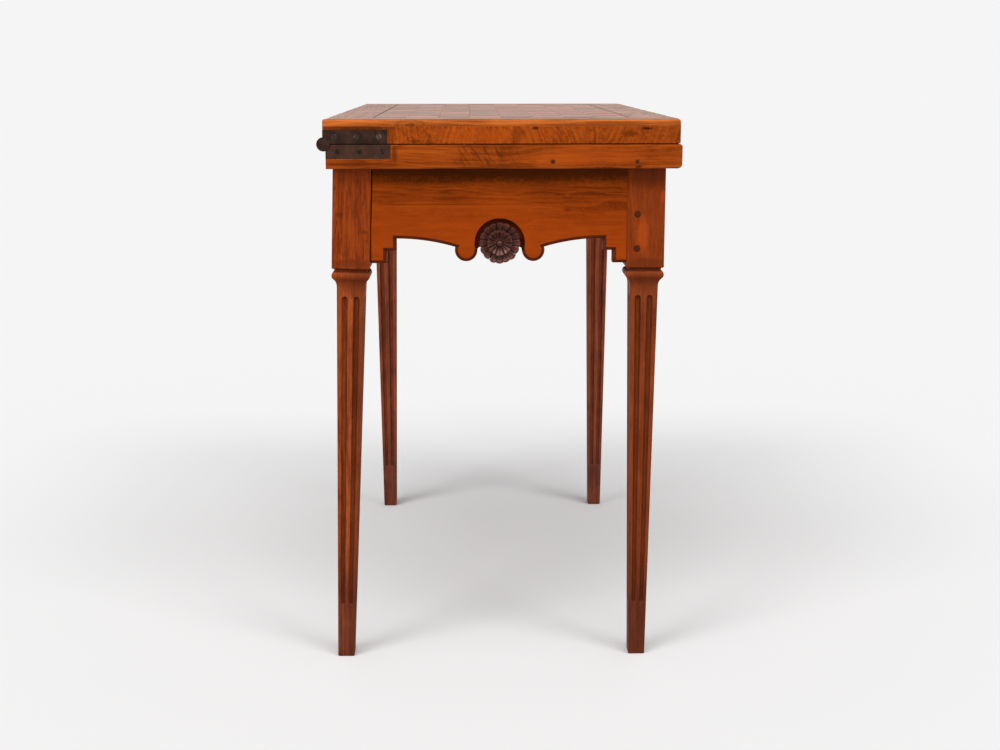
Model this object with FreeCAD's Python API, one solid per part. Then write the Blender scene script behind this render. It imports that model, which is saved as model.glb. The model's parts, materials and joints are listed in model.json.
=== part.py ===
import FreeCAD, Part
import math
import os

# Fold-over games table. The flap lies closed on the fixed leaf and turns over the back edge on
# two iron strap hinges. One back leg swings out on a knuckle-jointed fly rail to carry it.
# Axes: +X is the front long side, -X the hinged back, Y runs along the table, +Z is up.
# Origin: on the floor, under the middle of the closed table. Lengths are in millimetres.

# Overall sizes
table_height = 740.0
leaf_length = 800.0
leaf_width = 457.5
leaf_thickness = 31.0
flap_front_setback = 2.5
front_overhang = 18.5
back_overhang = 7.0
end_overhang = 17.5

# Clearances
leaf_gap = 1.2
eye_gap = 0.4
swing_gap = 1.5
gate_headroom = 0.6
fly_gap = 2.0
knuckle_gap = 0.6
joint_fit = 0.1
pin_fit = 0.05
cloth_gap = 0.3
cut_overrun = 6.0
edge_match = 0.01

# Fixed leaf
leaf_front_lower_radius = 6.0
leaf_front_upper_radius = 3.0
leaf_end_radius = 1.5
clamp_width = 55.0
tongue_length = 12.0
tongue_thickness = 9.0
tongue_height = 14.5
clamp_peg_radius = 2.6
clamp_peg_length = 75.0
clamp_peg_height = 9.0
clamp_peg_place_shares = (0.29, 0.753)

# Flap
top_layer_thickness = 9.0
veneer_thickness = 2.5
border_width = 60.0
string_width = 2.5
parquet_columns = 8
parquet_rows = 16
flap_corner_radius = 3.5
flap_edge_radius = 2.5
flap_board_shares = (0.28, 0.255, 0.235, 0.23)

# Playing cloth in both inner faces
cloth_thickness = 1.2
cloth_recess = 1.5
cloth_margin = 58.0
cloth_hinge_margin = 12.0

# Strap hinges
pin_setback = 2.5
flap_past_pin = 1.1
eye_radius = 9.0
hinge_pin_radius = 3.0
strap_length = 83.0
strap_width = 18.0
strap_thickness = 4.4
strap_corner_cut = 1.2
strap_screw_count = 3
strap_screw_start = 15.0
strap_screw_pitch = 28.5

# Wood screws
screw_head_radius = 3.7
screw_head_height = 2.4
screw_shank_radius = 1.9
strap_screw_length = 26.0
block_screw_length = 32.0
rail_screw_length = 36.0

# Legs
leg_block = 50.0
leg_block_height = 131.0
leg_arris = 1.2
block_foot_round = 2.6
groove_height = 3.8
groove_depth = 3.4
collar_height = 10.0
collar_bulge = 2.2
cove_height = 10.0
shaft_width = 37.0
foot_width = 22.6
foot_chamfer = 1.5
flute_top_drop = 13.0
flute_foot_height = 77.0
flute_width_share = 0.22
flute_place_share = 0.215
flute_depth_share = 0.36

# Shaped aprons
apron_thickness = 21.0
apron_setback = 0.4
apron_chamfer = 4.2
bracket_depth = 123.8
bracket_low_width = 17.5
bracket_high_width = 13.0
bracket_rise = 16.5
arch_depth = 91.5
arch_fall = 11.0
lobe_offset = 44.0
lobe_radius = 14.8
lobe_depth = 106.8
rosette_depth = 98.0
pendant_radius = 23.5
bridge_rise = 3.5
recess_radius = 33.0
recess_depth = 8.0

# Carved rosettes
rosette_radius = 26.5
rosette_petals = 16
petal_valley_share = 0.92
rosette_rim_height = 6.0
flower_radius = 15.6
flower_height = 9.0
button_radius = 5.6
button_height = 11.5
petal_groove_radius = 0.9
dish_ring_share = 0.76
dish_radius_share = 0.2

# Tenons and draw pegs
tenon_length = 28.0
tenon_thickness = 10.0
tenon_top_shoulder = 15.0
tenon_foot_shoulder = 10.0
draw_peg_radius = 4.0
draw_peg_length = 19.0
draw_peg_proud = 0.5
draw_peg_offset = 14.0
upper_peg_depth = 60.0
lower_peg_depth = 105.0

# Back rails and the swing leg, whose foot stands out of plumb
swing_foot_kick = 23.5
rail_depth = 91.5
fly_thickness = 24.0
inner_rail_thickness = 22.0
rail_tenon_shoulder = 13.0
rail_peg_upper_depth = 30.0
rail_peg_lower_depth = 62.0
tongue_end_thickness = 11.0
dovetail_count = 3
dovetail_length = 7.0
dovetail_root = 12.0
dovetail_flare = 2.0
pivot_offset = 12.0
knuckle_count = 5
knuckle_pin_radius = 4.0
knuckle_pin_foot = 3.0
rail_screw_count = 3

# Glue blocks under the fixed leaf
glue_block_length = 60.0
glue_block_section = 22.0
glue_block_bevel = 8.0
end_block_share = 0.6
side_block_shares = (-0.62, 0.0, 0.62)

# Levels and places worked out from the sizes above
table_width = leaf_width + pin_setback + eye_radius
x_front = table_width / 2
x_leaf_back = x_front - leaf_width
x_pin = x_leaf_back - pin_setback
x_flap_back = x_pin - flap_past_pin
x_flap_front = x_front - flap_front_setback
y_end = leaf_length / 2
z_frame_top = table_height - 2 * leaf_thickness - leaf_gap
z_leaf_top = z_frame_top + leaf_thickness
z_flap_under = z_leaf_top + leaf_gap
z_pin = z_leaf_top + leaf_gap / 2
z_boards = table_height - top_layer_thickness
z_veneer = table_height - veneer_thickness
x_frame_front = x_front - front_overhang
x_frame_back = x_leaf_back + back_overhang
x_frame_mid = (x_frame_front + x_frame_back) / 2
y_frame = y_end - end_overhang
x_leg_front = x_frame_front - leg_block / 2
x_leg_back = x_frame_back + leg_block / 2
y_leg = y_frame - leg_block / 2
y_leg_inner = y_frame - leg_block
end_half_span = (x_frame_front - x_frame_back) / 2 - leg_block
front_half_span = y_leg_inner
z_shaft_top = z_frame_top - leg_block_height - groove_height - collar_height - cove_height
z_rosette = z_frame_top - rosette_depth
z_rail_foot = z_frame_top - rail_depth
z_gate_top = z_frame_top - gate_headroom
lean = math.asin(swing_foot_kick / z_frame_top)
lean_sink = z_frame_top * (1 - math.cos(lean)) + foot_width / 2 * math.sin(lean)
x_fly_out = x_frame_back + apron_setback
x_fly_in = x_fly_out + fly_thickness
x_knuckle = x_fly_out + fly_thickness / 2
knuckle_radius = fly_thickness / 2
knuckle_shoulder = knuckle_radius + knuckle_gap
x_inner_out = x_fly_in + fly_gap
x_inner_in = x_inner_out + inner_rail_thickness
y_apron_back = -y_frame + apron_setback + apron_thickness
y_tongue_face = y_apron_back - tongue_end_thickness


def vec(x, y, z):
    return FreeCAD.Vector(x, y, z)


origin = vec(0, 0, 0)
x_axis = vec(1, 0, 0)
y_axis = vec(0, 1, 0)
z_axis = vec(0, 0, 1)


def box(x0, x1, y0, y1, z0, z1):
    return Part.makeBox(x1 - x0, y1 - y0, z1 - z0, vec(x0, y0, z0))


def rod(radius, start, end):
    """Round bar between two points."""
    run = end - start
    return Part.makeCylinder(radius, run.Length, start, run)


def line(start, end):
    return Part.LineSegment(start, end).toShape()


def arc(start, middle, end):
    return Part.Arc(start, middle, end).toShape()


def prism(points, run):
    """Straight-sided solid: a polygon pushed along a vector."""
    return Part.Face(Part.makePolygon(points + points[:1])).extrude(run)


def moved(shape, x, y, z):
    copy = shape.copy()
    copy.translate(vec(x, y, z))
    return copy


def turned(shape, degrees):
    """Copy of a shape turned about the vertical through the origin."""
    copy = shape.copy()
    copy.rotate(origin, z_axis, degrees)
    return copy


def far_copy(shape):
    """The same shape at the far end of the table."""
    return shape.mirror(origin, y_axis)


def leaned(shape):
    """Copy of a shape turned with the swing leg, about the top of its block."""
    copy = moved(shape, 0, 0, -lean_sink)
    copy.rotate(vec(x_leg_back, -y_leg, z_frame_top), y_axis, math.degrees(lean))
    return copy


def round_edges(shape, radius, wanted):
    """Fillet the edges whose two ends both pass the test."""
    edges = [e for e in shape.Edges if all(wanted(v.Point) for v in e.Vertexes)]
    return shape.makeFillet(radius, edges)


def close_to(value, target):
    return abs(value - target) < edge_match


def wood_screw(length):
    """Countersunk screw along +Z, with its flat head face at the origin."""
    outline = [
        vec(0, 0, 0),
        vec(screw_head_radius, 0, 0),
        vec(screw_shank_radius, 0, screw_head_height),
        vec(screw_shank_radius, 0, length - screw_shank_radius),
        vec(0, 0, length),
    ]
    face = Part.Face(Part.makePolygon(outline + outline[:1]))
    return face.revolve(origin, z_axis, 360)


def aimed(shape, place, direction):
    """Copy of a shape made along +Z, put at a place and pointed in a direction."""
    copy = shape.copy()
    copy.Placement = FreeCAD.Placement(place, FreeCAD.Rotation(z_axis, direction))
    return copy


# Leaves


def fixed_leaf_blank():
    """Whole fixed leaf with its softened edges, before it is split into panel and clamps."""
    blank = box(x_leaf_back, x_front, -y_end, y_end, z_frame_top, z_leaf_top)
    for level, radius in (
        (z_frame_top, leaf_front_lower_radius),
        (z_leaf_top, leaf_front_upper_radius),
    ):
        blank = round_edges(
            blank, radius, lambda p: close_to(p.x, x_front) and close_to(p.z, level)
        )
    for end in (-y_end, y_end):
        edges = [
            e
            for e in blank.Edges
            if all(close_to(v.Y, end) for v in e.Vertexes)
            and not all(close_to(v.X, x_leaf_back) for v in e.Vertexes)
        ]
        blank = blank.makeFillet(leaf_end_radius, edges)
    return blank


def leaf_tongue(end, spread):
    """Tongue of the panel that enters the clamp at one end; spread widens it into the groove."""
    y_joint = end * (y_end - clamp_width)
    y_tip = y_joint + end * (tongue_length + spread)
    z_low = z_frame_top + tongue_height
    return box(
        x_leaf_back, x_front,
        min(y_joint, y_tip), max(y_joint, y_tip),
        z_low - spread, z_low + tongue_thickness + spread,
    )


def clamp_peg(end, share, spread):
    x = share * table_width / 2
    z = z_frame_top + clamp_peg_height
    start = vec(x, end * y_end, z)
    return rod(clamp_peg_radius + spread, start, vec(x, end * (y_end - clamp_peg_length), z))


def cloth_sheet(x_back, x_fore, z_face, upward, spread, depth):
    """Rectangle of cloth, or of its recess, sunk from a leaf's inner face."""
    inward = -depth if upward else depth
    half = y_end - cloth_margin + spread
    return box(
        x_back + cloth_hinge_margin - spread, x_fore - cloth_margin + spread,
        -half, half,
        min(z_face, z_face + inward), max(z_face, z_face + inward),
    )


def fixed_leaf_cloth(spread, depth, z_face):
    return cloth_sheet(x_leaf_back, x_front, z_face, True, spread, depth)


def flap_cloth(spread, depth, z_face):
    return cloth_sheet(x_flap_back, x_flap_front, z_face, False, spread, depth)


def mitred_frame(x0, x1, y0, y1, width, z_low):
    """Four strips round a rectangle, mitred at the corners, up to the top of the table."""
    strips = []
    outer = [(x0, y0), (x1, y0), (x1, y1), (x0, y1)]
    inner = [
        (x0 + width, y0 + width), (x1 - width, y0 + width),
        (x1 - width, y1 - width), (x0 + width, y1 - width),
    ]
    for k in range(4):
        follow = (k + 1) % 4
        marks = [outer[k], outer[follow], inner[follow], inner[k]]
        corners = [vec(x, y, z_low) for x, y in marks]
        strips.append(prism(corners, vec(0, 0, table_height - z_low)))
    return strips


def flap_blank():
    blank = box(x_flap_back, x_flap_front, -y_end, y_end, z_flap_under, table_height)
    upright = [e for e in blank.Edges if close_to(e.BoundBox.ZLength, leaf_thickness)]
    blank = blank.makeFillet(flap_corner_radius, upright)
    return round_edges(blank, flap_edge_radius, lambda p: close_to(p.z, table_height))


def parquet_squares(shade):
    """Squares of one shade: the shade is 0 or 1 and alternates like a chessboard."""
    inset = border_width + string_width
    column = (x_flap_front - x_flap_back - 2 * inset) / parquet_columns
    row = (leaf_length - 2 * inset) / parquet_rows
    squares = []
    for i in range(parquet_columns):
        for j in range(parquet_rows):
            if (i + j) % 2 != shade:
                continue
            x = x_flap_back + inset + i * column
            y = -y_end + inset + j * row
            squares.append(box(x, x + column, y, y + row, z_veneer, table_height))
    return squares


# Strap hinges, made at the near end and mirrored to the far end


def strap_bar(x_back, z_seam, rise):
    """Bar of a strap, let into the end of a leaf; rise is +1 for the flap and -1 for the leaf."""
    z_off = z_seam + rise * strap_width
    z_cut = z_off - rise * strap_corner_cut
    x_tip = x_back + strap_length
    y = -y_end
    corners = [
        vec(x_back, y, z_seam),
        vec(x_tip, y, z_seam),
        vec(x_tip, y, z_off),
        vec(x_back + strap_corner_cut, y, z_off),
        vec(x_back, y, z_cut),
    ]
    return prism(corners, vec(0, strap_thickness, 0))


def eye_disc(radius, y_from, y_to):
    return rod(radius, vec(x_pin, -y_end + y_from, z_pin), vec(x_pin, -y_end + y_to, z_pin))


def strap_screws(x_back, z_seam, rise):
    z = z_seam + rise * strap_width / 2
    pattern = wood_screw(strap_screw_length)
    places = [x_back + strap_screw_start + k * strap_screw_pitch for k in range(strap_screw_count)]
    return [aimed(pattern, vec(x, -y_end, z), y_axis) for x in places]


def strap(x_back, z_seam, rise, eye_from, eye_to, clear_from, clear_to):
    """Strap whose half-lapped eye fills one layer and clears the other strap's eye in the other."""
    body = strap_bar(x_back, z_seam, rise).fuse(eye_disc(eye_radius, eye_from, eye_to))
    body = body.cut(eye_disc(eye_radius + eye_gap, clear_from, clear_to))
    bore = eye_disc(hinge_pin_radius + pin_fit, -cut_overrun, strap_thickness + cut_overrun)
    return body.cut([bore] + strap_screws(x_back, z_seam, rise)).removeSplitter()


def hinges(nodes, cuts):
    """Both hinges: straps, pins and screws; the recesses they need go into cuts."""
    lap = strap_thickness / 2
    flap_seat = (x_flap_back, z_flap_under, 1)
    leaf_seat = (x_leaf_back, z_leaf_top, -1)
    flap_strap = strap(*flap_seat, 0, lap, lap, strap_thickness + cut_overrun)
    leaf_strap = strap(*leaf_seat, lap, strap_thickness, -cut_overrun, lap)
    pin = eye_disc(hinge_pin_radius, 0, strap_thickness)
    flap_screws = strap_screws(*flap_seat)
    leaf_screws = strap_screws(*leaf_seat)
    for name, placed in (("near", lambda s: s), ("far", far_copy)):
        nodes[name + "_flap_strap"] = [placed(flap_strap)]
        nodes[name + "_leaf_strap"] = [placed(leaf_strap)]
        nodes[name + "_hinge_pin"] = [placed(pin)]
        cuts["flap"] += [placed(s) for s in [strap_bar(*flap_seat)] + flap_screws]
        cuts["leaf"] += [placed(s) for s in [strap_bar(*leaf_seat)] + leaf_screws]
    nodes["flap_strap_screws"] = flap_screws + [far_copy(s) for s in flap_screws]
    nodes["leaf_strap_screws"] = leaf_screws + [far_copy(s) for s in leaf_screws]


# Legs


def rounded_square(width, z):
    """Square wire with small round arrises, centred on the leg's axis."""
    half = width / 2
    flat = half - leg_arris
    bend = flat + leg_arris * math.cos(math.pi / 4)
    edges = []
    for k in range(4):
        side = line(vec(half, -flat, z), vec(half, flat, z))
        corner = arc(vec(half, flat, z), vec(bend, bend, z), vec(flat, half, z))
        edges += [turned(side, 90 * k), turned(corner, 90 * k)]
    return Part.Wire(edges)


def square_moulding(right_edges):
    """Mitred square moulding: the same outline pushed both ways, and what they share."""
    left_edges = [e.mirror(origin, x_axis) for e in right_edges]
    first = right_edges[0].Vertexes[0].Point
    last = right_edges[-1].Vertexes[-1].Point
    top = line(vec(-first.x, 0, first.z), first)
    foot = line(last, vec(-last.x, 0, last.z))
    outline = Part.Wire(right_edges + [foot] + left_edges[::-1] + [top])
    slab = moved(Part.Face(outline).extrude(vec(0, leg_block, 0)), 0, -leg_block / 2, 0)
    return slab.common(turned(slab, 90))


def leg_collar():
    """Groove, bead and cove between the square block and the tapered shaft."""
    z_block = z_frame_top - leg_block_height
    z_groove = z_block - groove_height
    z_bead = z_groove - collar_height
    half = leg_block / 2
    neck = half - groove_depth
    root = half - collar_bulge
    slim = shaft_width / 2
    inset = block_foot_round * (1 - math.cos(math.pi / 4))
    z_round = z_block + block_foot_round
    # The cove is an arc that runs out upright into the shaft.
    cove_run = root - slim
    cove_radius = (cove_run ** 2 + cove_height ** 2) / (2 * cove_run)
    turn = math.asin(cove_height / cove_radius) / 2
    cove_middle = vec(
        slim + cove_radius * (1 - math.cos(turn)), 0, z_shaft_top + cove_radius * math.sin(turn)
    )
    return square_moulding([
        line(vec(half, 0, z_round + leg_arris), vec(half, 0, z_round)),
        arc(
            vec(half, 0, z_round),
            vec(half - inset, 0, z_block + inset),
            vec(half - block_foot_round, 0, z_block),
        ),
        line(vec(half - block_foot_round, 0, z_block), vec(neck, 0, z_block)),
        line(vec(neck, 0, z_block), vec(neck, 0, z_groove)),
        line(vec(neck, 0, z_groove), vec(root, 0, z_groove)),
        arc(vec(root, 0, z_groove), vec(half, 0, (z_groove + z_bead) / 2), vec(root, 0, z_bead)),
        arc(vec(root, 0, z_bead), cove_middle, vec(slim, 0, z_shaft_top)),
    ])


def width_at(z):
    """Width of the tapered shaft at a height."""
    return foot_width + (shaft_width - foot_width) * z / z_shaft_top


def flute_cutter():
    """Tapered round-ended cutter for one flute of the face that looks along +X."""
    z_low = flute_foot_height + flute_width_share * width_at(flute_foot_height) / 2
    z_high = z_shaft_top - flute_top_drop - flute_width_share * shaft_width / 2
    ends = []
    for z in (z_low, z_high):
        wide = flute_width_share * width_at(z)
        deep = flute_depth_share * wide
        radius = (wide ** 2 / 4 + deep ** 2) / (2 * deep)
        place = vec(width_at(z) / 2 + radius - deep, flute_place_share * width_at(z), z)
        ends.append((radius, place))
    (low, start), (high, stop) = ends
    run = (stop - start).Length
    slant = math.cos(math.pi / 4)
    outline = Part.Wire([
        arc(vec(0, 0, -low), vec(low * slant, 0, -low * slant), vec(low, 0, 0)),
        line(vec(low, 0, 0), vec(high, 0, run)),
        arc(vec(high, 0, run), vec(high * slant, 0, run + high * slant), vec(0, 0, run + high)),
        line(vec(0, 0, run + high), vec(0, 0, -low)),
    ])
    solid = Part.Face(outline).revolve(origin, z_axis, 360)
    return aimed(solid, start, stop - start)


def leg(top_spare):
    """Square block, moulded collar and fluted, tapered shaft, on the vertical through the origin."""
    z_block = z_frame_top - leg_block_height + block_foot_round + leg_arris
    block = Part.makeLoft(
        [
            rounded_square(leg_block, z_block),
            rounded_square(leg_block, z_frame_top + top_spare),
        ],
        True,
        True,
    )
    shaft = Part.makeLoft(
        [
            rounded_square(foot_width - 2 * foot_chamfer, 0),
            rounded_square(width_at(foot_chamfer), foot_chamfer),
            rounded_square(shaft_width, z_shaft_top),
        ],
        True,
        True,
    )
    flute = flute_cutter()
    mirrored = flute.mirror(origin, y_axis)
    cutters = [turned(cutter, 90 * k) for k in range(4) for cutter in (flute, mirrored)]
    return block.fuse([leg_collar(), shaft.cut(cutters)]).removeSplitter()


# Shaped aprons, drawn in the XZ plane with the face at y = 0, then put in place


def outer_crossing(u0, z0, r0, u1, z1, r1):
    """Crossing of two circles that lies further from the middle of the apron."""
    span = math.hypot(u1 - u0, z1 - z0)
    along = (span ** 2 + r0 ** 2 - r1 ** 2) / (2 * span)
    across = math.sqrt(r0 ** 2 - along ** 2)
    du = (u1 - u0) / span
    dz = (z1 - z0) / span
    found = [
        (u0 + along * du - side * across * dz, z0 + along * dz + side * across * du)
        for side in (-1, 1)
    ]
    return max(found)


def apron_outline(half_span, inset, y):
    """Apron outline; inset draws the shaped lower edge in for the chamfer on the face."""
    z_foot = z_frame_top - bracket_depth + inset
    z_step = z_foot + bracket_rise
    u_low = half_span - bracket_low_width + inset
    u_high = half_span - bracket_low_width - bracket_high_width + inset
    u_arch = half_span - bracket_low_width - bracket_high_width
    z_lobe = z_frame_top - lobe_depth
    lobe = lobe_radius - inset
    # The arch starts level at the bracket and falls towards the lobe.
    reach = u_arch - lobe_offset - lobe_radius
    sweep = (reach ** 2 + arch_fall ** 2) / (2 * arch_fall)
    z_centre = z_frame_top - arch_depth - sweep
    swept = sweep + inset

    def on_arch(u):
        return vec(u, y, z_centre + math.sqrt(swept ** 2 - (u - u_arch) ** 2))

    u_meet, z_meet = outer_crossing(u_arch, z_centre, swept, lobe_offset, z_lobe, lobe)
    meet = vec(u_meet, y, z_meet)
    lobe_inside = vec(lobe_offset - lobe, y, z_lobe)
    u_pendant = math.sqrt(pendant_radius ** 2 - (z_rosette - z_lobe) ** 2)
    pendant_side = vec(u_pendant, y, z_lobe)
    bridge = vec((lobe_inside.x + u_pendant) / 2, y, z_lobe + bridge_rise)
    pendant_foot = vec(0, y, z_rosette - pendant_radius)
    right = [
        arc(pendant_side, bridge, lobe_inside),
        arc(lobe_inside, vec(lobe_offset, y, z_lobe - lobe), meet),
        arc(meet, on_arch((u_meet + u_high) / 2), on_arch(u_high)),
        line(on_arch(u_high), vec(u_high, y, z_step)),
        line(vec(u_high, y, z_step), vec(u_low, y, z_step)),
        line(vec(u_low, y, z_step), vec(u_low, y, z_foot)),
        line(vec(u_low, y, z_foot), vec(half_span, y, z_foot)),
        line(vec(half_span, y, z_foot), vec(half_span, y, z_frame_top)),
    ]
    left = [e.mirror(origin, x_axis) for e in right]
    top = line(vec(half_span, y, z_frame_top), vec(-half_span, y, z_frame_top))
    pendant = arc(vec(-u_pendant, y, z_lobe), pendant_foot, pendant_side)
    return Part.Wire(right + [top] + left[::-1] + [pendant])


def apron_panel(half_span):
    """Apron with its chamfered lower edge and the round recess that takes the rosette."""
    edge = apron_outline(half_span, 0, apron_chamfer)
    face = apron_outline(half_span, apron_chamfer, 0)
    back = Part.Face(edge).extrude(vec(0, apron_thickness - apron_chamfer, 0))
    front = Part.makeLoft([face, edge], True, True)
    recess = rod(recess_radius, vec(0, -cut_overrun, z_rosette), vec(0, recess_depth, z_rosette))
    return back.fuse(front).cut(recess).removeSplitter()


def apron_tenon(half_span, side, spread):
    """Tenon at one end of an apron, or its mortise where spread is given."""
    y_tenon = (apron_thickness - tenon_thickness) / 2
    u_root = half_span
    u_tip = half_span + tenon_length + spread
    tenon = box(
        u_root, u_tip,
        y_tenon - spread, y_tenon + tenon_thickness + spread,
        z_frame_top - bracket_depth + tenon_foot_shoulder - spread,
        z_frame_top - tenon_top_shoulder + spread,
    )
    return tenon if side > 0 else tenon.mirror(origin, x_axis)


def apron_pegs(half_span, side, spread):
    """Two draw pegs through the leg's face and the tenon, or their holes."""
    u = side * (half_span + draw_peg_offset)
    y_head = -apron_setback - draw_peg_proud
    return [
        rod(
            draw_peg_radius + spread,
            vec(u, y_head, z_frame_top - depth),
            vec(u, draw_peg_length + spread, z_frame_top - depth),
        )
        for depth in (upper_peg_depth, lower_peg_depth)
    ]


def scalloped_plate(radius, height):
    """Flat plate whose rim is a ring of petals."""
    valley = radius * petal_valley_share
    step = 2 * math.pi / rosette_petals
    edges = []
    for k in range(rosette_petals):
        marks = [
            vec(r * math.cos(angle), r * math.sin(angle), 0)
            for r, angle in (
                (valley, (k - 0.5) * step), (radius, k * step), (valley, (k + 0.5) * step)
            )
        ]
        edges.append(arc(*marks))
    return Part.Face(Part.Wire(edges)).extrude(vec(0, 0, height))


def petal_ring(radius, height, inner_radius):
    """Dished ring of petals with a groove between each two."""
    plate = scalloped_plate(radius, height)
    ring = radius * dish_ring_share
    dish = radius * dish_radius_share
    hollow = Part.makeTorus(ring, dish, vec(0, 0, height + dish / 2), z_axis)
    step = 360 / rosette_petals
    groove = rod(
        petal_groove_radius,
        vec(inner_radius, 0, height - dish / 2),
        vec(radius + cut_overrun, 0, height - dish / 2),
    )
    grooves = [turned(groove, (k + 0.5) * step) for k in range(rosette_petals)]
    return plate.cut([hollow] + grooves)


def rosette():
    """Carved rosette, made face up: outer petals, inner flower and domed button."""
    outer = petal_ring(rosette_radius, rosette_rim_height, flower_radius)
    flower = petal_ring(flower_radius, flower_height, button_radius)
    rise = button_height - flower_height
    ball = (button_radius ** 2 + rise ** 2) / (2 * rise)
    button = Part.makeSphere(ball, vec(0, 0, button_height - ball))
    stem = rod(button_radius, origin, vec(0, 0, button_height))
    return outer.fuse([flower, stem.common(button)]).removeSplitter()


def on_apron_face(shape):
    """Stand a face-up carving on the ground of the apron's recess."""
    copy = shape.copy()
    copy.rotate(origin, x_axis, 90)
    return moved(copy, 0, recess_depth, z_rosette)


def at_near_end(shape):
    return moved(shape, x_frame_mid, -y_frame + apron_setback, 0)


def at_far_end(shape):
    return moved(turned(shape, 180), x_frame_mid, y_frame - apron_setback, 0)


def at_front(shape):
    return moved(turned(shape, 90), x_frame_front - apron_setback, 0, 0)


def dovetails():
    """Tails on the near end of the inner back rail, lapped into the near apron's tongue."""
    tails = []
    pitch = rail_depth / dovetail_count
    for k in range(dovetail_count):
        z = z_rail_foot + (k + 0.5) * pitch
        root = dovetail_root / 2
        tip = root + dovetail_flare
        corners = [
            vec(x_inner_out, y_apron_back, z - root),
            vec(x_inner_out, y_apron_back - dovetail_length, z - tip),
            vec(x_inner_out, y_apron_back - dovetail_length, z + tip),
            vec(x_inner_out, y_apron_back, z + root),
        ]
        tails.append(prism(corners, vec(inner_rail_thickness, 0, 0)))
    return tails


def aprons(nodes, cuts):
    """End and front aprons with rosettes and pegs; mortises and peg holes go into cuts."""
    carving = on_apron_face(rosette())
    pegs = []
    for name, half_span, place, sides in (
        ("near_end", end_half_span, at_near_end, (1,)),
        ("far_end", end_half_span, at_far_end, (-1, 1)),
        ("front", front_half_span, at_front, (-1, 1)),
    ):
        panel = apron_panel(half_span)
        for side in sides:
            panel = panel.fuse(apron_tenon(half_span, side, 0))
            panel = panel.cut(apron_pegs(half_span, side, pin_fit))
            pegs += [place(p) for p in apron_pegs(half_span, side, 0)]
            cuts["leg"] += [place(p) for p in apron_pegs(half_span, side, pin_fit)]
            cuts["leg"].append(place(apron_tenon(half_span, side, joint_fit)))
        nodes[name + "_apron"] = [place(panel).removeSplitter()]
        nodes[name + "_rosette"] = [place(carving)]
    nodes["apron_draw_pegs"] = pegs
    # The near apron's end is scribed to the leaning swing leg. A lap behind the leg meets the
    # inner back rail.
    near = nodes["near_end_apron"][0]
    x_stop = x_frame_back + leg_block + swing_gap
    spare = box(
        x_frame_back, x_stop, -y_frame - cut_overrun, y_apron_back + cut_overrun,
        z_rail_foot - rail_depth, z_frame_top + cut_overrun,
    )
    lap = box(x_inner_out, x_stop, y_tongue_face, y_apron_back, z_rail_foot, z_frame_top)
    nodes["near_end_apron"] = [near.cut(leaned(spare)).fuse(lap).cut(dovetails()).removeSplitter()]


# Back rails, knuckle joint and swing leg


def rail_tenon(x_middle, y_root, outward, spread):
    """Tenon of a back rail into a leg; outward is +1 towards the far leg and -1 to the near one."""
    y_tip = y_root + outward * (tenon_length + spread)
    half = tenon_thickness / 2 + spread
    return box(
        x_middle - half, x_middle + half,
        min(y_root, y_tip), max(y_root, y_tip),
        z_rail_foot + rail_tenon_shoulder - spread, z_frame_top - rail_tenon_shoulder + spread,
    )


def rail_pegs(outward, spread):
    """Draw pegs of a back leg, or their holes; those of the swing leg lean with it."""
    y = outward * (y_leg_inner + draw_peg_offset)
    pegs = [
        rod(
            draw_peg_radius + spread,
            vec(x_frame_back - draw_peg_proud, y, z_frame_top - depth),
            vec(x_frame_back + draw_peg_length + spread, y, z_frame_top - depth),
        )
        for depth in (rail_peg_upper_depth, rail_peg_lower_depth)
    ]
    return pegs if outward > 0 else [leaned(p) for p in pegs]


def knuckles(parity, outward):
    """Fingers of one rail: every second knuckle, each a barrel with a web to its rail."""
    pitch = (z_gate_top - z_rail_foot) / knuckle_count
    y_web = pivot_offset + outward * knuckle_shoulder
    fingers = []
    for k in range(parity, knuckle_count, 2):
        z0 = z_rail_foot + k * pitch + knuckle_gap / 2
        z1 = z_rail_foot + (k + 1) * pitch - knuckle_gap / 2
        barrel = rod(knuckle_radius, vec(x_knuckle, pivot_offset, z0), vec(x_knuckle, pivot_offset, z1))
        web = box(
            x_fly_out, x_fly_in, min(pivot_offset, y_web), max(pivot_offset, y_web), z0, z1
        )
        fingers.append(barrel.fuse(web))
    return fingers


def knuckle_bar(radius):
    return rod(
        radius,
        vec(x_knuckle, pivot_offset, z_rail_foot - knuckle_pin_foot),
        vec(x_knuckle, pivot_offset, z_gate_top),
    )


def rail_screws():
    """Screws from inside, through the inner back rail into the fixed outer one."""
    pattern = wood_screw(rail_screw_length)
    y_start = pivot_offset + knuckle_shoulder
    pitch = (y_leg_inner - y_start) / rail_screw_count
    z = z_frame_top - rail_depth / 2
    return [
        aimed(pattern, vec(x_inner_in, y_start + (k + 0.5) * pitch, z), -x_axis)
        for k in range(rail_screw_count)
    ]


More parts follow.
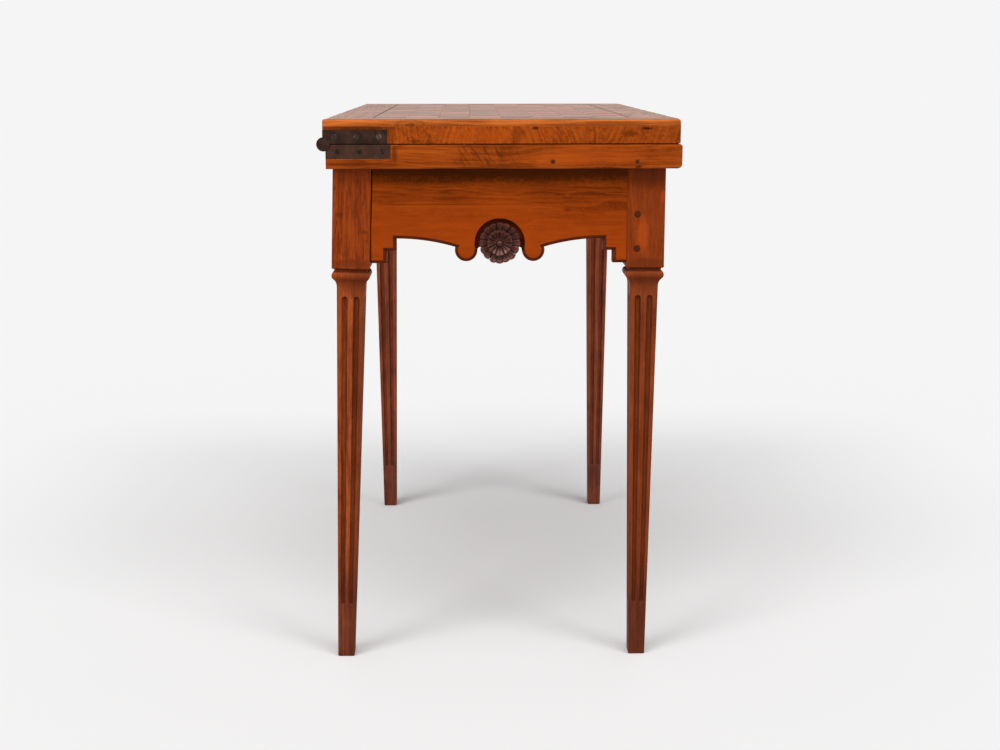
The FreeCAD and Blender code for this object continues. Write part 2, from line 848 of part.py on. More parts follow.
def back_rails(nodes, cuts):
    """Inner rail, fixed outer rail, fly rail and pin of the gate."""
    x_inner_mid = (x_inner_out + x_inner_in) / 2
    screws = rail_screws()
    bore = knuckle_bar(knuckle_pin_radius + pin_fit)
    inner = box(x_inner_out, x_inner_in, y_apron_back, y_leg_inner, z_rail_foot, z_frame_top)
    inner = inner.fuse(dovetails() + [rail_tenon(x_inner_mid, y_leg_inner, 1, 0)]).cut(screws)
    outer = box(
        x_fly_out, x_inner_out, pivot_offset + knuckle_shoulder, y_leg_inner,
        z_rail_foot, z_frame_top,
    )
    outer = outer.fuse(knuckles(0, 1) + [rail_tenon(x_knuckle, y_leg_inner, 1, 0)])
    outer = outer.cut(rail_pegs(1, pin_fit) + screws + [bore])
    fly = box(
        x_fly_out, x_fly_in, -y_leg_inner, pivot_offset - knuckle_shoulder,
        z_rail_foot, z_gate_top,
    )
    fly = fly.fuse(knuckles(1, -1) + [rail_tenon(x_knuckle, -y_leg_inner, -1, 0)])
    fly = fly.cut(rail_pegs(-1, pin_fit) + [bore])
    nodes["inner_back_rail"] = [inner.removeSplitter()]
    nodes["outer_back_rail"] = [outer.removeSplitter()]
    nodes["fly_rail"] = [fly.removeSplitter()]
    nodes["knuckle_pin"] = [knuckle_bar(knuckle_pin_radius)]
    nodes["rail_screws"] = screws
    nodes["back_draw_pegs"] = rail_pegs(1, 0)
    nodes["gate_draw_pegs"] = rail_pegs(-1, 0)
    cuts["leg"] += rail_pegs(1, pin_fit) + rail_pegs(-1, pin_fit)
    cuts["leg"] += [
        rail_tenon(x_inner_mid, y_leg_inner, 1, joint_fit),
        rail_tenon(x_knuckle, y_leg_inner, 1, joint_fit),
        rail_tenon(x_knuckle, -y_leg_inner, -1, joint_fit),
    ]


def legs(nodes, cuts):
    """Three plumb fixed legs, and the leaning swing leg notched over the corner of the frame."""
    pattern = leg(0)
    for name, x, y in (
        ("near_front_leg", x_leg_front, -y_leg),
        ("far_front_leg", x_leg_front, y_leg),
        ("far_back_leg", x_leg_back, y_leg),
    ):
        nodes[name] = [moved(pattern, x, y, 0).cut(cuts["leg"])]
    notch = box(
        x_inner_out - swing_gap, x_frame_back + leg_block + cut_overrun,
        y_tongue_face - swing_gap, -y_leg_inner + cut_overrun,
        z_rail_foot - swing_gap, z_frame_top + cut_overrun,
    )
    headroom = box(
        x_frame_back - cut_overrun, x_frame_back + leg_block + cut_overrun,
        -y_frame - cut_overrun, -y_leg_inner + cut_overrun, z_gate_top, z_frame_top + cut_overrun,
    )
    floor = box(
        x_leg_back - leg_block, x_leg_back + leg_block, -y_frame, -y_leg_inner, -leg_block, 0
    )
    swing = leaned(moved(leg(lean_sink + leg_block * math.sin(lean)), x_leg_back, -y_leg, 0))
    nodes["swing_leg"] = [swing.cut(cuts["leg"] + [notch, headroom, floor])]


# What holds the fixed leaf to the frame


def glue_block():
    """Bevelled block along X, its corner where the rail's back and the leaf's underside meet."""
    side = glue_block_section
    half = glue_block_length / 2
    corners = [
        vec(-half, 0, 0),
        vec(-half, side, 0),
        vec(-half, side, glue_block_bevel - side),
        vec(-half, side - glue_block_bevel, -side),
        vec(-half, 0, -side),
    ]
    return prism(corners, vec(glue_block_length, 0, 0))


def glue_blocks(nodes, cuts):
    """Blocks along the rails, each with a screw up into the fixed leaf."""
    pattern = glue_block()
    reach = end_half_span * end_block_share
    x_apron_back = x_frame_front - apron_setback - apron_thickness
    places = []
    for sign in (-1, 1):
        places.append((x_frame_mid + sign * reach, y_apron_back, 0))
        places.append((x_frame_mid + sign * reach, -y_apron_back, 180))
    for share in side_block_shares:
        places.append((x_apron_back, share * front_half_span, 90))
        places.append((x_inner_in, share * front_half_span, -90))
    screw = wood_screw(block_screw_length)
    inset = (glue_block_section - glue_block_bevel) / 2
    screw = moved(screw, 0, inset, -glue_block_section)
    blocks = []
    screws = []
    for x, y, angle in places:
        fixing = moved(turned(screw, angle), x, y, z_frame_top)
        screws.append(fixing)
        blocks.append(moved(turned(pattern, angle), x, y, z_frame_top).cut(fixing))
    nodes["glue_blocks"] = blocks
    nodes["block_screws"] = screws
    cuts["leaf"] += screws


def fixed_leaf(nodes, cuts):
    """Panel tongued into two clamps, the pegs that hold them, and the playing cloth."""
    blank = fixed_leaf_blank()
    y_joint = y_end - clamp_width
    pegs = {
        end: [clamp_peg(end, share, 0) for share in clamp_peg_place_shares] for end in (-1, 1)
    }
    holes = [clamp_peg(end, share, pin_fit) for end in (-1, 1) for share in clamp_peg_place_shares]
    recess = fixed_leaf_cloth(cloth_gap, cloth_recess, z_leaf_top)
    middle = box(x_leaf_back, x_front, -y_joint, y_joint, z_frame_top, z_leaf_top)
    tongues = [leaf_tongue(end, 0) for end in (-1, 1)]
    panel = blank.common(middle.fuse(tongues))
    nodes["fixed_leaf_panel"] = [panel.cut(holes + cuts["leaf"] + [recess]).removeSplitter()]
    for name, end in (("near", -1), ("far", 1)):
        y0, y1 = sorted((end * y_joint, end * y_end))
        clamp = blank.common(box(x_leaf_back, x_front, y0, y1, z_frame_top, z_leaf_top))
        clamp = clamp.cut([leaf_tongue(end, joint_fit)] + holes + cuts["leaf"])
        nodes[name + "_clamp"] = [clamp.removeSplitter()]
    nodes["clamp_pegs"] = pegs[-1] + pegs[1]
    z_floor = z_leaf_top - cloth_recess
    nodes["fixed_leaf_cloth"] = [fixed_leaf_cloth(0, cloth_thickness, z_floor + cloth_thickness)]


def flap(nodes, cuts):
    """Boards, border, ground, string and squares of the flap, and the cloth on its inner face."""
    blank = flap_blank()
    recess = flap_cloth(cloth_gap, cloth_recess, z_flap_under)
    width = x_flap_front - x_flap_back
    boards = []
    x = x_flap_back
    for share in flap_board_shares:
        board = box(x, x + share * width, -y_end, y_end, z_flap_under, z_boards)
        boards.append(blank.common(board).cut(cuts["flap"] + [recess]))
        x += share * width
    nodes["flap_boards"] = boards
    border = mitred_frame(x_flap_back, x_flap_front, -y_end, y_end, border_width, z_boards)
    nodes["flap_border"] = [blank.common(strip) for strip in border]
    field = (
        x_flap_back + border_width, x_flap_front - border_width,
        -y_end + border_width, y_end - border_width,
    )
    nodes["parquet_ground"] = [box(*field, z_boards, z_veneer)]
    nodes["flap_string"] = mitred_frame(*field, string_width, z_veneer)
    nodes["dark_squares"] = parquet_squares(0)
    nodes["light_squares"] = parquet_squares(1)
    z_floor = z_flap_under + cloth_recess
    nodes["flap_cloth"] = [flap_cloth(0, cloth_thickness, z_floor - cloth_thickness)]


def main():
    nodes = {}
    cuts = {"flap": [], "leaf": [], "leg": []}
    hinges(nodes, cuts)
    aprons(nodes, cuts)
    back_rails(nodes, cuts)
    legs(nodes, cuts)
    glue_blocks(nodes, cuts)
    fixed_leaf(nodes, cuts)
    flap(nodes, cuts)
    os.makedirs("parts", exist_ok=True)
    for name, solids in nodes.items():
        shape = solids[0] if len(solids) == 1 else Part.makeCompound(solids)
        shape.exportStep("parts/" + name + ".step")


main()
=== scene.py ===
import json
import math
import random
from functools import cache

import bmesh
import bpy
from mathutils import Matrix, Vector, noise

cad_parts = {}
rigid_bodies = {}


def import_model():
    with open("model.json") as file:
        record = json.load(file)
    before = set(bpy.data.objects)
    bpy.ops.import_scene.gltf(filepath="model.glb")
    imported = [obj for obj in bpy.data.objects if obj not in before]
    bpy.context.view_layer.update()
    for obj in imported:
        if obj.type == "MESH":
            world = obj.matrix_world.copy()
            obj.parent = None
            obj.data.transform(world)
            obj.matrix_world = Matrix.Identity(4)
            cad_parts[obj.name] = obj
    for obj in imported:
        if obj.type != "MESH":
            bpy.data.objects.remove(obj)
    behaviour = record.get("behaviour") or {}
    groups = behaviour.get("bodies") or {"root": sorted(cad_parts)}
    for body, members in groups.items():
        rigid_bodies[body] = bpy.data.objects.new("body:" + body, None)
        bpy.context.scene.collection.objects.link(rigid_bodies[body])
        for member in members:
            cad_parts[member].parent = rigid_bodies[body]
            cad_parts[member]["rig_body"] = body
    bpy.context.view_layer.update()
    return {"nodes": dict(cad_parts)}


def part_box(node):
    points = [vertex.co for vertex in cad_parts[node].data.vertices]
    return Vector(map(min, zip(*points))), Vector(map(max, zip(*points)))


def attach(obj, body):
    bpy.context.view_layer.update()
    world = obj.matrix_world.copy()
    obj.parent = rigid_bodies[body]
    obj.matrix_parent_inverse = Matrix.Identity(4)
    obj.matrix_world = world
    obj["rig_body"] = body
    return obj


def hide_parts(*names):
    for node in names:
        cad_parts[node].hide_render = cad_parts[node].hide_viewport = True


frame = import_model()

bl_info = {
    "name": "Fold-over games table",
    "version": (1, 0, 0),
    "blender": (4, 5, 0),
    "location": "View3D > Sidebar > Games Table",
    "description": "Finishes the games table's wood, iron and cloth, and sets up its studio",
    "category": "Object",
}

# Lengths are in metres. The near end is the one in the photo.
FLAP_LOW, FLAP_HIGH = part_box("flap_border")
FIELD_LOW, FIELD_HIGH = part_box("dark_squares")
NEAR_END = FLAP_LOW.y
TABLE_TOP = FLAP_HIGH.z
LEG_FACE = -0.3825  # near faces of the near legs
COLLAR = 0.56  # height of the leg collars
CHIP_STEP = 0.008  # about how far apart a worn arris is cut so that it can chip
SHARP_EDGE = math.radians(40)  # edges that turn more than this are eased
FLAT_JOIN = math.radians(0.6)  # faces that turn less than this become one face
NARROW_FACE = 2e-4  # largest facet of a curve, in square metres

# Which way the wood runs in a piece: rows are the two cross directions and the run itself.
RUN = {
    "x": Matrix(((0, 1, 0), (0, 0, 1), (1, 0, 0))),
    "y": Matrix(((0, 0, 1), (1, 0, 0), (0, 1, 0))),
    "z": Matrix.Identity(3),
}

# Values in the panel


def colour(name, default, about):
    return bpy.props.FloatVectorProperty(
        name=name, description=about, default=default, size=3, min=0, max=1, subtype="COLOR"
    )


def length(name, default, about):
    return bpy.props.FloatProperty(
        name=name, description=about, default=default, min=0, subtype="DISTANCE", unit="LENGTH"
    )


def count(name, default, about, low, high):
    return bpy.props.IntProperty(name=name, description=about, default=default, min=low, max=high)


def level(name, default, about, high):
    return bpy.props.FloatProperty(name=name, description=about, default=default, min=0, max=high)


class TableFinishes(bpy.types.PropertyGroup):
    leaf_wood: colour("Leaf wood", (0.46, 0.078, 0.007), "Waxed cherry of both leaves")
    border_wood: colour("Border wood", (0.72, 0.165, 0.028), "Paler cherry round the parquetry")
    # Painted light: the border's upper faces get this darker copy of its wood.
    top_wood: colour("Border top", (0.27, 0.080, 0.026), "Upper face of the border, painted darker than its sides")
    apron_wood: colour("Apron wood", (0.34, 0.049, 0.003), "Waxed cherry of the aprons")
    leg_wood: colour("Leg wood", (0.405, 0.061, 0.006), "Waxed wood of the four legs")
    shaft_wood: colour("Leg shafts", (0.425, 0.082, 0.019), "Paler wood of the rubbed shafts")
    # Painted shade: the legs darken to this colour towards the floor.
    foot_wood: colour("Leg feet", (0.225, 0.048, 0.020), "Colour of the legs towards the floor")
    carving_wood: colour("Carving", (0.115, 0.026, 0.016), "Dark stained rosettes")
    # Partly stain and partly painted shade on the aprons' edges and recesses.
    edge_wood: colour("Stained and shaded edge", (0.185, 0.027, 0.006), "Stain and painted shade of the aprons' edges and recesses")
    pale_square: colour("Pale squares", (0.52, 0.155, 0.042), "Paler squares of the parquetry")
    dark_square: colour("Dark squares", (0.12, 0.030, 0.009), "Darker squares of the parquetry")
    string_wood: colour("String line", (0.075, 0.025, 0.011), "Dark line round the parquetry")
    rail_wood: colour("Back rails", (0.25, 0.098, 0.036), "Unpolished inside timber")
    peg_wood: colour("Pegs", (0.100, 0.022, 0.008), "End grain of the pegs")
    iron: colour("Strap iron", (0.040, 0.017, 0.011), "Browned forged iron")
    screw_iron: colour("Screw iron", (0.085, 0.060, 0.046), "Rubbed screw heads")
    cloth: colour("Playing cloth", (0.028, 0.105, 0.048), "Worn green baize")


class TableShapes(bpy.types.PropertyGroup):
    petals: count("Petals", 16, "Petals in each ring of a rosette", 6, 40)
    columns: count("Columns", 8, "Parquetry squares across the flap", 1, 24)
    rows: count("Rows", 16, "Parquetry squares along the flap", 1, 48)
    tile_joint: length("Tile joint", 0.00014, "Open joint between two squares")
    tile_thickness: length("Tile thickness", 0.0025, "Thickness of the parquetry")
    screw_slot: length("Screw slot", 0.0010, "Width of the slot in a screw head")
    iron_arris: length("Iron arris", 0.0005, "Softened edge of the straps")
    cloth_ripple: length("Cloth ripple", 0.00012, "Unevenness of the laid cloth")


class TableStudio(bpy.types.PropertyGroup):
    ambient: level("Ambient", 0.37, "Light from all round", 2)
    left_lamp: level("Left lamp", 0.60, "Strength of the lamp at the front left", 20)
    right_lamp: level("Right lamp", 0.50, "Strength of the lamp at the front right", 20)
    overhead: level("Overhead lamp", 1.22, "Strength of the lamp above", 20)
    floor_tone: level("Floor tone", 0.949, "Grey level of the floor", 1)
    floor_bounce: level("Floor bounce", 0.50, "Grey level of the light thrown up by the floor", 1)
    background: level("Background", 0.913, "White seen behind the table", 1)
    lens: bpy.props.FloatProperty(
        name="Lens", description="Focal length", default=52.53, min=1, unit="CAMERA"
    )


# Node groups


class Wiring:
    """Short calls to add nodes to a tree and join them."""

    def __init__(self, tree):
        self.tree = tree

    def feed(self, node, inputs):
        """Join sockets to a node's inputs, and set the inputs that get plain values."""
        for key, value in inputs.items():
            if isinstance(value, bpy.types.NodeSocket):
                self.tree.links.new(value, node.inputs[key])
            else:
                node.inputs[key].default_value = value
        return node

    def add(self, kind, inputs=None, **settings):
        node = self.tree.nodes.new(kind)
        for key, value in settings.items():
            setattr(node, key, value)
        return self.feed(node, inputs or {})

    def use(self, tree, inputs=None):
        return self.add("ShaderNodeGroup", inputs, node_tree=tree).outputs

    def close(self, outputs):
        self.feed(self.add("NodeGroupOutput"), outputs)
        return self.tree

    def place(self):
        return self.add("ShaderNodeTexCoord").outputs["Object"]

    def attribute(self, name, output):
        return self.add("ShaderNodeAttribute", attribute_name=name).outputs[output]

    def math(self, operation, a, b=0.0, c=0.0, clamp=False):
        node = self.add("ShaderNodeMath", {0: a, 1: b, 2: c}, operation=operation, use_clamp=clamp)
        return node.outputs[0]

    def vector(self, operation, a, b=(0, 0, 0)):
        node = self.add("ShaderNodeVectorMath", {0: a, 1: b}, operation=operation)
        return node.outputs["Value" if operation in ("LENGTH", "DOT_PRODUCT") else "Vector"]

    def noise(self, vector, scale, detail=2.0, roughness=0.5):
        inputs = {"Vector": vector, "Scale": scale, "Detail": detail, "Roughness": roughness}
        return self.add("ShaderNodeTexNoise", inputs).outputs["Fac"]

    def ramp(self, value, low, high, out_low=0.0, out_high=1.0):
        """Soft step from one value to another as the input goes from low to high."""
        inputs = {"Value": value, "From Min": low, "From Max": high, "To Min": out_low, "To Max": out_high}
        return self.add("ShaderNodeMapRange", inputs, interpolation_type="SMOOTHSTEP").outputs[0]

    def mix(self, factor, a, b, blend="MIX"):
        inputs = {0: factor, 6: a, 7: b}
        return self.add("ShaderNodeMix", inputs, data_type="RGBA", blend_type=blend).outputs[2]

    def bump(self, height, strength, distance, **normal):
        inputs = {"Height": height, "Strength": strength, "Distance": distance, **normal}
        return self.add("ShaderNodeBump", inputs).outputs[0]


def new_group(kind, name, inputs, outputs):
    """Node group with named sockets and what comes in; a socket is (type, name) and maybe its default."""
    tree = bpy.data.node_groups.new(name, kind + "NodeTree")
    for side, sockets in (("INPUT", inputs), ("OUTPUT", outputs)):
        for socket_kind, label, *default in sockets:
            socket = tree.interface.new_socket(label, in_out=side, socket_type="NodeSocket" + socket_kind)
            if default:
                socket.default_value = default[0]
    w = Wiring(tree)
    return w, w.add("NodeGroupInput").outputs


@cache
def wood_figure():
    """Growth rings round the run of the wood, fine fibres, flecks and slow changes of tone."""
    w, source = new_group(
        "Shader", "wood_figure",
        [("Vector", "Wood"), ("Float", "Ring Width", 0.006), ("Float", "Wander", 0.012),
         ("Float", "Fibre", 1.0)],
        [("Float", "Tone"), ("Float", "Pores"), ("Float", "Height")],
    )

    def along(share):
        """The wood drawn out along its run: the smaller the share, the longer the marks."""
        return w.vector("MULTIPLY", source["Wood"], (1.0, 1.0, share))

    def swing(value, reach):
        return w.math("MULTIPLY", w.math("SUBTRACT", value, 0.5), reach)

    drift = w.math("ADD", swing(w.noise(along(0.20), 8.0), 5.0), swing(w.noise(along(0.25), 38.0), 1.4))
    radius = w.math("MULTIPLY_ADD", drift, source["Wander"], w.vector("LENGTH", along(0.0)))
    rings = w.math("DIVIDE", radius, source["Ring Width"])
    # A one-way noise over the rings makes some bands broad and some narrow.
    band = w.add(
        "ShaderNodeTexNoise", {"W": rings, "Scale": 1.0, "Detail": 3.0, "Roughness": 0.65},
        noise_dimensions="1D",
    ).outputs["Fac"]
    late = w.math("POWER", w.math("FRACT", rings), 6.0)
    fibre = w.noise(along(0.025), 1100.0, 2.0, 0.6)
    streak = w.noise(along(0.04), 210.0, 2.0, 0.6)
    patch = w.noise(along(0.55), 17.0, 3.0, 0.6)
    mottle = w.noise(along(0.35), 240.0, 3.0, 0.65)
    tone = 0.52
    for part in (
        swing(band, 1.25), swing(streak, 1.00), swing(patch, 1.45), swing(mottle, 0.50),
        w.math("MULTIPLY", swing(fibre, 0.60), source["Fibre"]), w.math("MULTIPLY", late, -0.18),
    ):
        tone = w.math("ADD", part, tone)
    flecks = w.ramp(w.noise(along(0.11), 420.0), 0.64, 0.76)
    pores = w.ramp(w.noise(along(0.035), 800.0, 1.0), 0.60, 0.74)
    pores = w.math("MULTIPLY", w.math("MAXIMUM", flecks, pores), source["Fibre"], clamp=True)
    height = w.math("SUBTRACT", w.math("MULTIPLY", fibre, 0.35), pores)
    return w.close({"Tone": tone, "Pores": pores, "Height": height})


@cache
def flame():
    """Slanting curl marks across the run of the wood, within an oval."""
    w, source = new_group(
        "Shader", "flame",
        [("Vector", "Centre"), ("Vector", "Reach", (0.01, 0.01, 0.01)), ("Float", "Slant", 0.6)],
        [("Float", "Mask")],
    )
    off = w.vector("SUBTRACT", w.place(), source["Centre"])
    far = w.vector("LENGTH", w.vector("DIVIDE", off, source["Reach"]))
    slant = {"Vector": off, "Angle": source["Slant"]}
    turned = w.add("ShaderNodeVectorRotate", slant, rotation_type="Y_AXIS").outputs[0]
    lines = w.noise(w.vector("MULTIPLY", turned, (1.0, 1.0, 0.16)), 330.0, 2.0, 0.55)
    return w.close({"Mask": w.math("MULTIPLY", w.ramp(lines, 0.46, 0.66), w.ramp(far, 1.0, 0.3))})


@cache
def wear_and_painted_light():
    """Arrises rubbed by hands and lightened, partly as painted highlight, and corners darkened by dark wax
    and by painted shade.
    """
    w, source = new_group(
        "Shader", "wear_and_painted_light",
        [("Float", "Arris", 0.0016), ("Float", "Corner", 0.010), ("Float", "Filled", 0.50)],
        [("Float", "Rubbed"), ("Float", "Grime"), ("Vector", "Soft Normal")],
    )
    soft = w.add("ShaderNodeBevel", {"Radius": source["Arris"]}, samples=4).outputs[0]
    turn = w.vector("DOT_PRODUCT", soft, w.add("ShaderNodeNewGeometry").outputs["Normal"])
    uneven = w.noise(w.place(), 60.0, 3.0)
    rubbed = w.math("MULTIPLY", w.ramp(turn, 0.97, 0.80), w.ramp(uneven, 0.32, 0.66))
    hollow = w.add(
        "ShaderNodeAmbientOcclusion", {"Distance": source["Corner"]}, samples=4, only_local=True
    ).outputs["AO"]
    corner_wax_and_shade = w.math("MULTIPLY", w.ramp(hollow, 0.96, source["Filled"]), w.ramp(uneven, 0.15, 0.6, 0.65))
    return w.close({"Rubbed": rubbed, "Grime": corner_wax_and_shade, "Soft Normal": soft})


@cache
def spot_mask():
    """Mask of one soft-edged oval mark at a place on the table."""
    w, source = new_group(
        "Shader", "spot",
        [("Vector", "Centre"), ("Vector", "Reach", (0.01, 0.01, 0.01)), ("Float", "Ragged", 0.3)],
        [("Float", "Mask"), ("Float", "Distance")],
    )
    place = w.place()
    off = w.vector("SUBTRACT", place, source["Centre"])
    far = w.vector("LENGTH", w.vector("DIVIDE", off, source["Reach"]))
    rough = w.math("MULTIPLY", w.math("SUBTRACT", w.noise(place, 260.0, 3.0), 0.5), source["Ragged"])
    far = w.math("MULTIPLY_ADD", rough, 2.0, far)
    return w.close({"Mask": w.ramp(far, 1.0, 0.35), "Distance": far})


@cache
def forged_skin():
    """Scale, pits and brown rust of old forged iron."""
    w, _ = new_group("Shader", "forged_skin", [], [("Float", "Rust"), ("Float", "Height")])
    place = w.place()
    blows = w.noise(place, 130.0)
    pits = w.noise(place, 620.0, 3.0, 0.6)
    rust = w.ramp(w.noise(place, 70.0, 5.0, 0.62), 0.42, 0.68)
    return w.close({"Rust": rust, "Height": w.math("MULTIPLY_ADD", pits, 0.4, blows)})


# Materials


def new_material(name, constants):
    """Material whose constant values are set on the shader's own sockets."""
    material = bpy.data.materials.new(name)
    material.use_nodes = True
    w = Wiring(material.node_tree)
    return material, w, w.feed(material.node_tree.nodes["Principled BSDF"], constants)


def shade(tint, share, warm=1.0):
    """A darker or paler version of a colour; warm shifts it towards red or away."""
    red, green, blue = tint
    return (min(1, red * share), min(1, green * share / warm), min(1, blue * share / warm), 1.0)


def wood_material(label, tint, ring, wander, fibre=1.0, rough=0.42, specular=0.30, contrast=1.0,
                  corner_wax_and_shade=0.75, marks=(), knots=(), flames=(), below=(), corner=0.010, filled=0.50,
                  spread=0.30, rubbed=(0.45, 1.5), glow=(1.0, 0.42, 0.12)):
    """Old waxed wood.

    Marks are (centre, reach, strength, share of the colour); knots and flames are (centre, reach, strength).
    Below lists (colour, height where it starts, height where it is full) for colour that changes down a leg;
    the darkening towards the floor is painted shade.
    Spread is how much darker the darkest piece may be; rubbed is the strength and share of worn arrises,
    which are lightened partly as painted highlight.
    """
    material, w, shader = new_material(
        label, {"Specular IOR Level": specular, "Specular Tint": (*glow, 1.0)}
    )
    figure = w.use(wood_figure(), {
        "Wood": w.attribute("grain", "Vector"), "Ring Width": ring, "Wander": wander, "Fibre": fibre,
    })
    wear = w.use(wear_and_painted_light(), {"Corner": corner, "Filled": filled})

    # Lays a darker or paler copy of the wood's colour over a mask: for real stains and marks, and also for
    # painted shade and painted highlight.
    def stain(tone, mask, strength, share, warm):
        return w.mix(w.math("MULTIPLY", mask, strength), tone, shade(tint, share, warm))

    dark = shade(tint, 1 - 0.52 * contrast, 1.0 + 0.15 * contrast)
    pale = shade(tint, 1 + 0.40 * contrast, 0.92)
    tone = w.mix(w.ramp(figure["Tone"], 0.15, 0.52), dark, shade(tint, 1))
    tone = w.mix(w.ramp(figure["Tone"], 0.50, 0.90), tone, pale)
    # Each piece's own tone, which on the rosettes and the swing leg also carries painted shade.
    tone = w.mix(w.ramp(w.attribute("tone", "Fac"), 0.0, 1.0, spread, 0.0), tone, shade(tint, 0.45, 1.1))
    tone = stain(tone, figure["Pores"], 0.42, 0.30, 1.15)
    # Marks are stains, nicks and patches of colour; some of them are painted shadow and painted highlight.
    for centre, reach, strength, share in marks:
        spot = w.use(spot_mask(), {"Centre": centre, "Reach": reach})
        tone = stain(tone, spot["Mask"], strength, share, 1.1)
    for centre, reach, strength in knots:
        spot = w.use(spot_mask(), {"Centre": centre, "Reach": reach, "Ragged": 0.18})
        whorl = w.ramp(w.math("SINE", w.math("MULTIPLY", spot["Distance"], 11.0)), 0.0, 1.0)
        tone = stain(tone, w.math("MULTIPLY", whorl, spot["Mask"]), strength, 0.28, 1.15)
    for centre, reach, strength in flames:
        curl = w.use(flame(), {"Centre": centre, "Reach": reach})["Mask"]
        tone = stain(tone, curl, strength, 0.30, 1.1)
    change = (1, 1, 1, 1)
    for lower, start, full in below:
        height = w.add("ShaderNodeSeparateXYZ", {0: w.place()}).outputs[2]
        lower = getattr(bpy.context.scene.table_finishes, lower)
        ratio = [low_part / high_part for low_part, high_part in zip(lower, tint)]
        change = w.mix(w.ramp(height, start, full), change, (*ratio, 1))
    if below:
        tone = w.mix(1.0, tone, change, "MULTIPLY")
    # Corners and hollows darkened: partly dark wax, partly painted shade where ambient occlusion finds a
    # hollow.
    tone = stain(tone, wear["Grime"], corner_wax_and_shade, 0.12, 1.2)
    # Worn arrises lightened, partly as painted highlight.
    tone = stain(tone, wear["Rubbed"], *rubbed, 0.85)
    # Pale wood is a little smoother; pores and wax in the corners are dull.
    gloss = w.math("MULTIPLY_ADD", figure["Tone"], -0.10, rough + 0.06)
    gloss = w.math("MULTIPLY_ADD", figure["Pores"], 0.18, gloss)
    gloss = w.math("MULTIPLY_ADD", wear["Grime"], 0.22, gloss)
    relief = w.bump(figure["Height"], 0.5, 0.0002, Normal=wear["Soft Normal"])
    w.feed(shader, {"Base Color": tone, "Roughness": gloss, "Normal": relief})
    return material


def iron_material(label, tint, metal, rough):
    """Forged iron: dark scale, brown rust, corners painted dark as shade, and bright worn edges that are
    partly painted highlight.
    """
    material, w, shader = new_material(
        label, {"Specular IOR Level": 0.3, "Specular Tint": (1.0, 0.76, 0.66, 1.0)}
    )
    skin = w.use(forged_skin())
    wear = w.use(wear_and_painted_light(), {"Arris": 0.0009, "Corner": 0.003})
    tone = w.mix(skin["Rust"], shade(tint, 0.75), shade(tint, 1.7, 0.95))
    # A high tone makes the leaf straps and some screw heads paler; the palest screw heads are partly painted
    # glints.
    tone = w.mix(w.ramp(w.attribute("tone", "Fac"), 0.62, 0.95), tone, shade(tint, 3.4, 0.95))
    # Corners darkened as painted shade where ambient occlusion finds a hollow.
    tone = w.mix(w.math("MULTIPLY", wear["Grime"], 0.7), tone, shade(tint, 0.3))
    # Bright worn edges, partly painted highlight.
    tone = w.mix(w.math("MULTIPLY", wear["Rubbed"], 0.40), tone, shade(tint, 4.0))
    w.feed(shader, {
        "Base Color": tone,
        "Roughness": w.math("MULTIPLY_ADD", skin["Rust"], 0.28, rough),
        "Metallic": w.math("MULTIPLY_ADD", skin["Rust"], -metal * 0.6, metal),
        "Normal": w.bump(skin["Height"], 0.4, 0.0005, Normal=wear["Soft Normal"]),
    })
    return material


def cloth_material(label, tint):
    """Felted wool: crossed threads under a nap, rubbed paler where cards were dealt."""
    material, w, shader = new_material(
        label, {"Specular IOR Level": 0.1, "Sheen Weight": 0.25, "Sheen Roughness": 0.5}
    )
    place = w.place()
    weave = {"Vector": place, "Scale": 380.0, "Distortion": 1.5, "Detail": 1.0}
    warp, weft = (
        w.add("ShaderNodeTexWave", weave, bands_direction=way).outputs["Fac"] for way in "XY"
    )
    nap = w.noise(place, 1500.0, 2.0, 0.7)
    worn = w.ramp(w.noise(place, 5.0, 4.0, 0.6), 0.42, 0.72)
    spots = w.ramp(w.noise(place, 16.0, 5.0, 0.6), 0.60, 0.72)
    relief = w.math("MULTIPLY_ADD", w.math("MAXIMUM", warp, weft), 0.5, nap)
    tone = w.mix(w.ramp(nap, 0.25, 0.8), shade(tint, 0.62), shade(tint, 1.35))
    tone = w.mix(w.math("MULTIPLY", worn, 0.55), tone, shade(tint, 1.9, 0.9))
    tone = w.mix(w.math("MULTIPLY", spots, 0.45), tone, shade(tint, 0.45))
    w.feed(shader, {
        "Base Color": tone,
        "Roughness": w.ramp(nap, 0.0, 1.0, 0.85, 1.0),
        "Normal": w.bump(relief, 0.5, 0.0003),
    })
    return material


LEG_MARKS = (
    ((-0.208, LEG_FACE, 0.617), (0.006, 0.02, 0.005), 0.60, 0.30),
    ((-0.176, LEG_FACE, 0.594), (0.005, 0.02, 0.004), 0.60, 0.30),
    # Painted shadow under the leaves, across the tops of the legs.
    ((0.0, 0.0, 0.6768), (0.60, 0.80, 0.016), 0.45, 0.25),
    ((0.187, LEG_FACE, 0.590), (0.011, 0.02, 0.030), 0.60, 1.55),
    ((0.192, LEG_FACE, 0.664), (0.030, 0.02, 0.022), 0.55, 0.40),
    # Painted highlight on the right near leg's block.
    ((0.213, LEG_FACE, 0.640), (0.004, 0.02, 0.012), 0.50, 1.50),
    # Collars and the necks below them
    ((0.191, LEG_FACE, 0.5530), (0.040, 0.03, 0.0085), 0.60, 0.42),
    ((-0.195, LEG_FACE, 0.5530), (0.040, 0.03, 0.0085), 0.60, 0.42),
    ((0.195, LEG_FACE, 0.5280), (0.030, 0.03, 0.0200), 0.50, 0.50),
    ((-0.192, LEG_FACE, 0.5280), (0.030, 0.03, 0.0200), 0.50, 0.50),
)
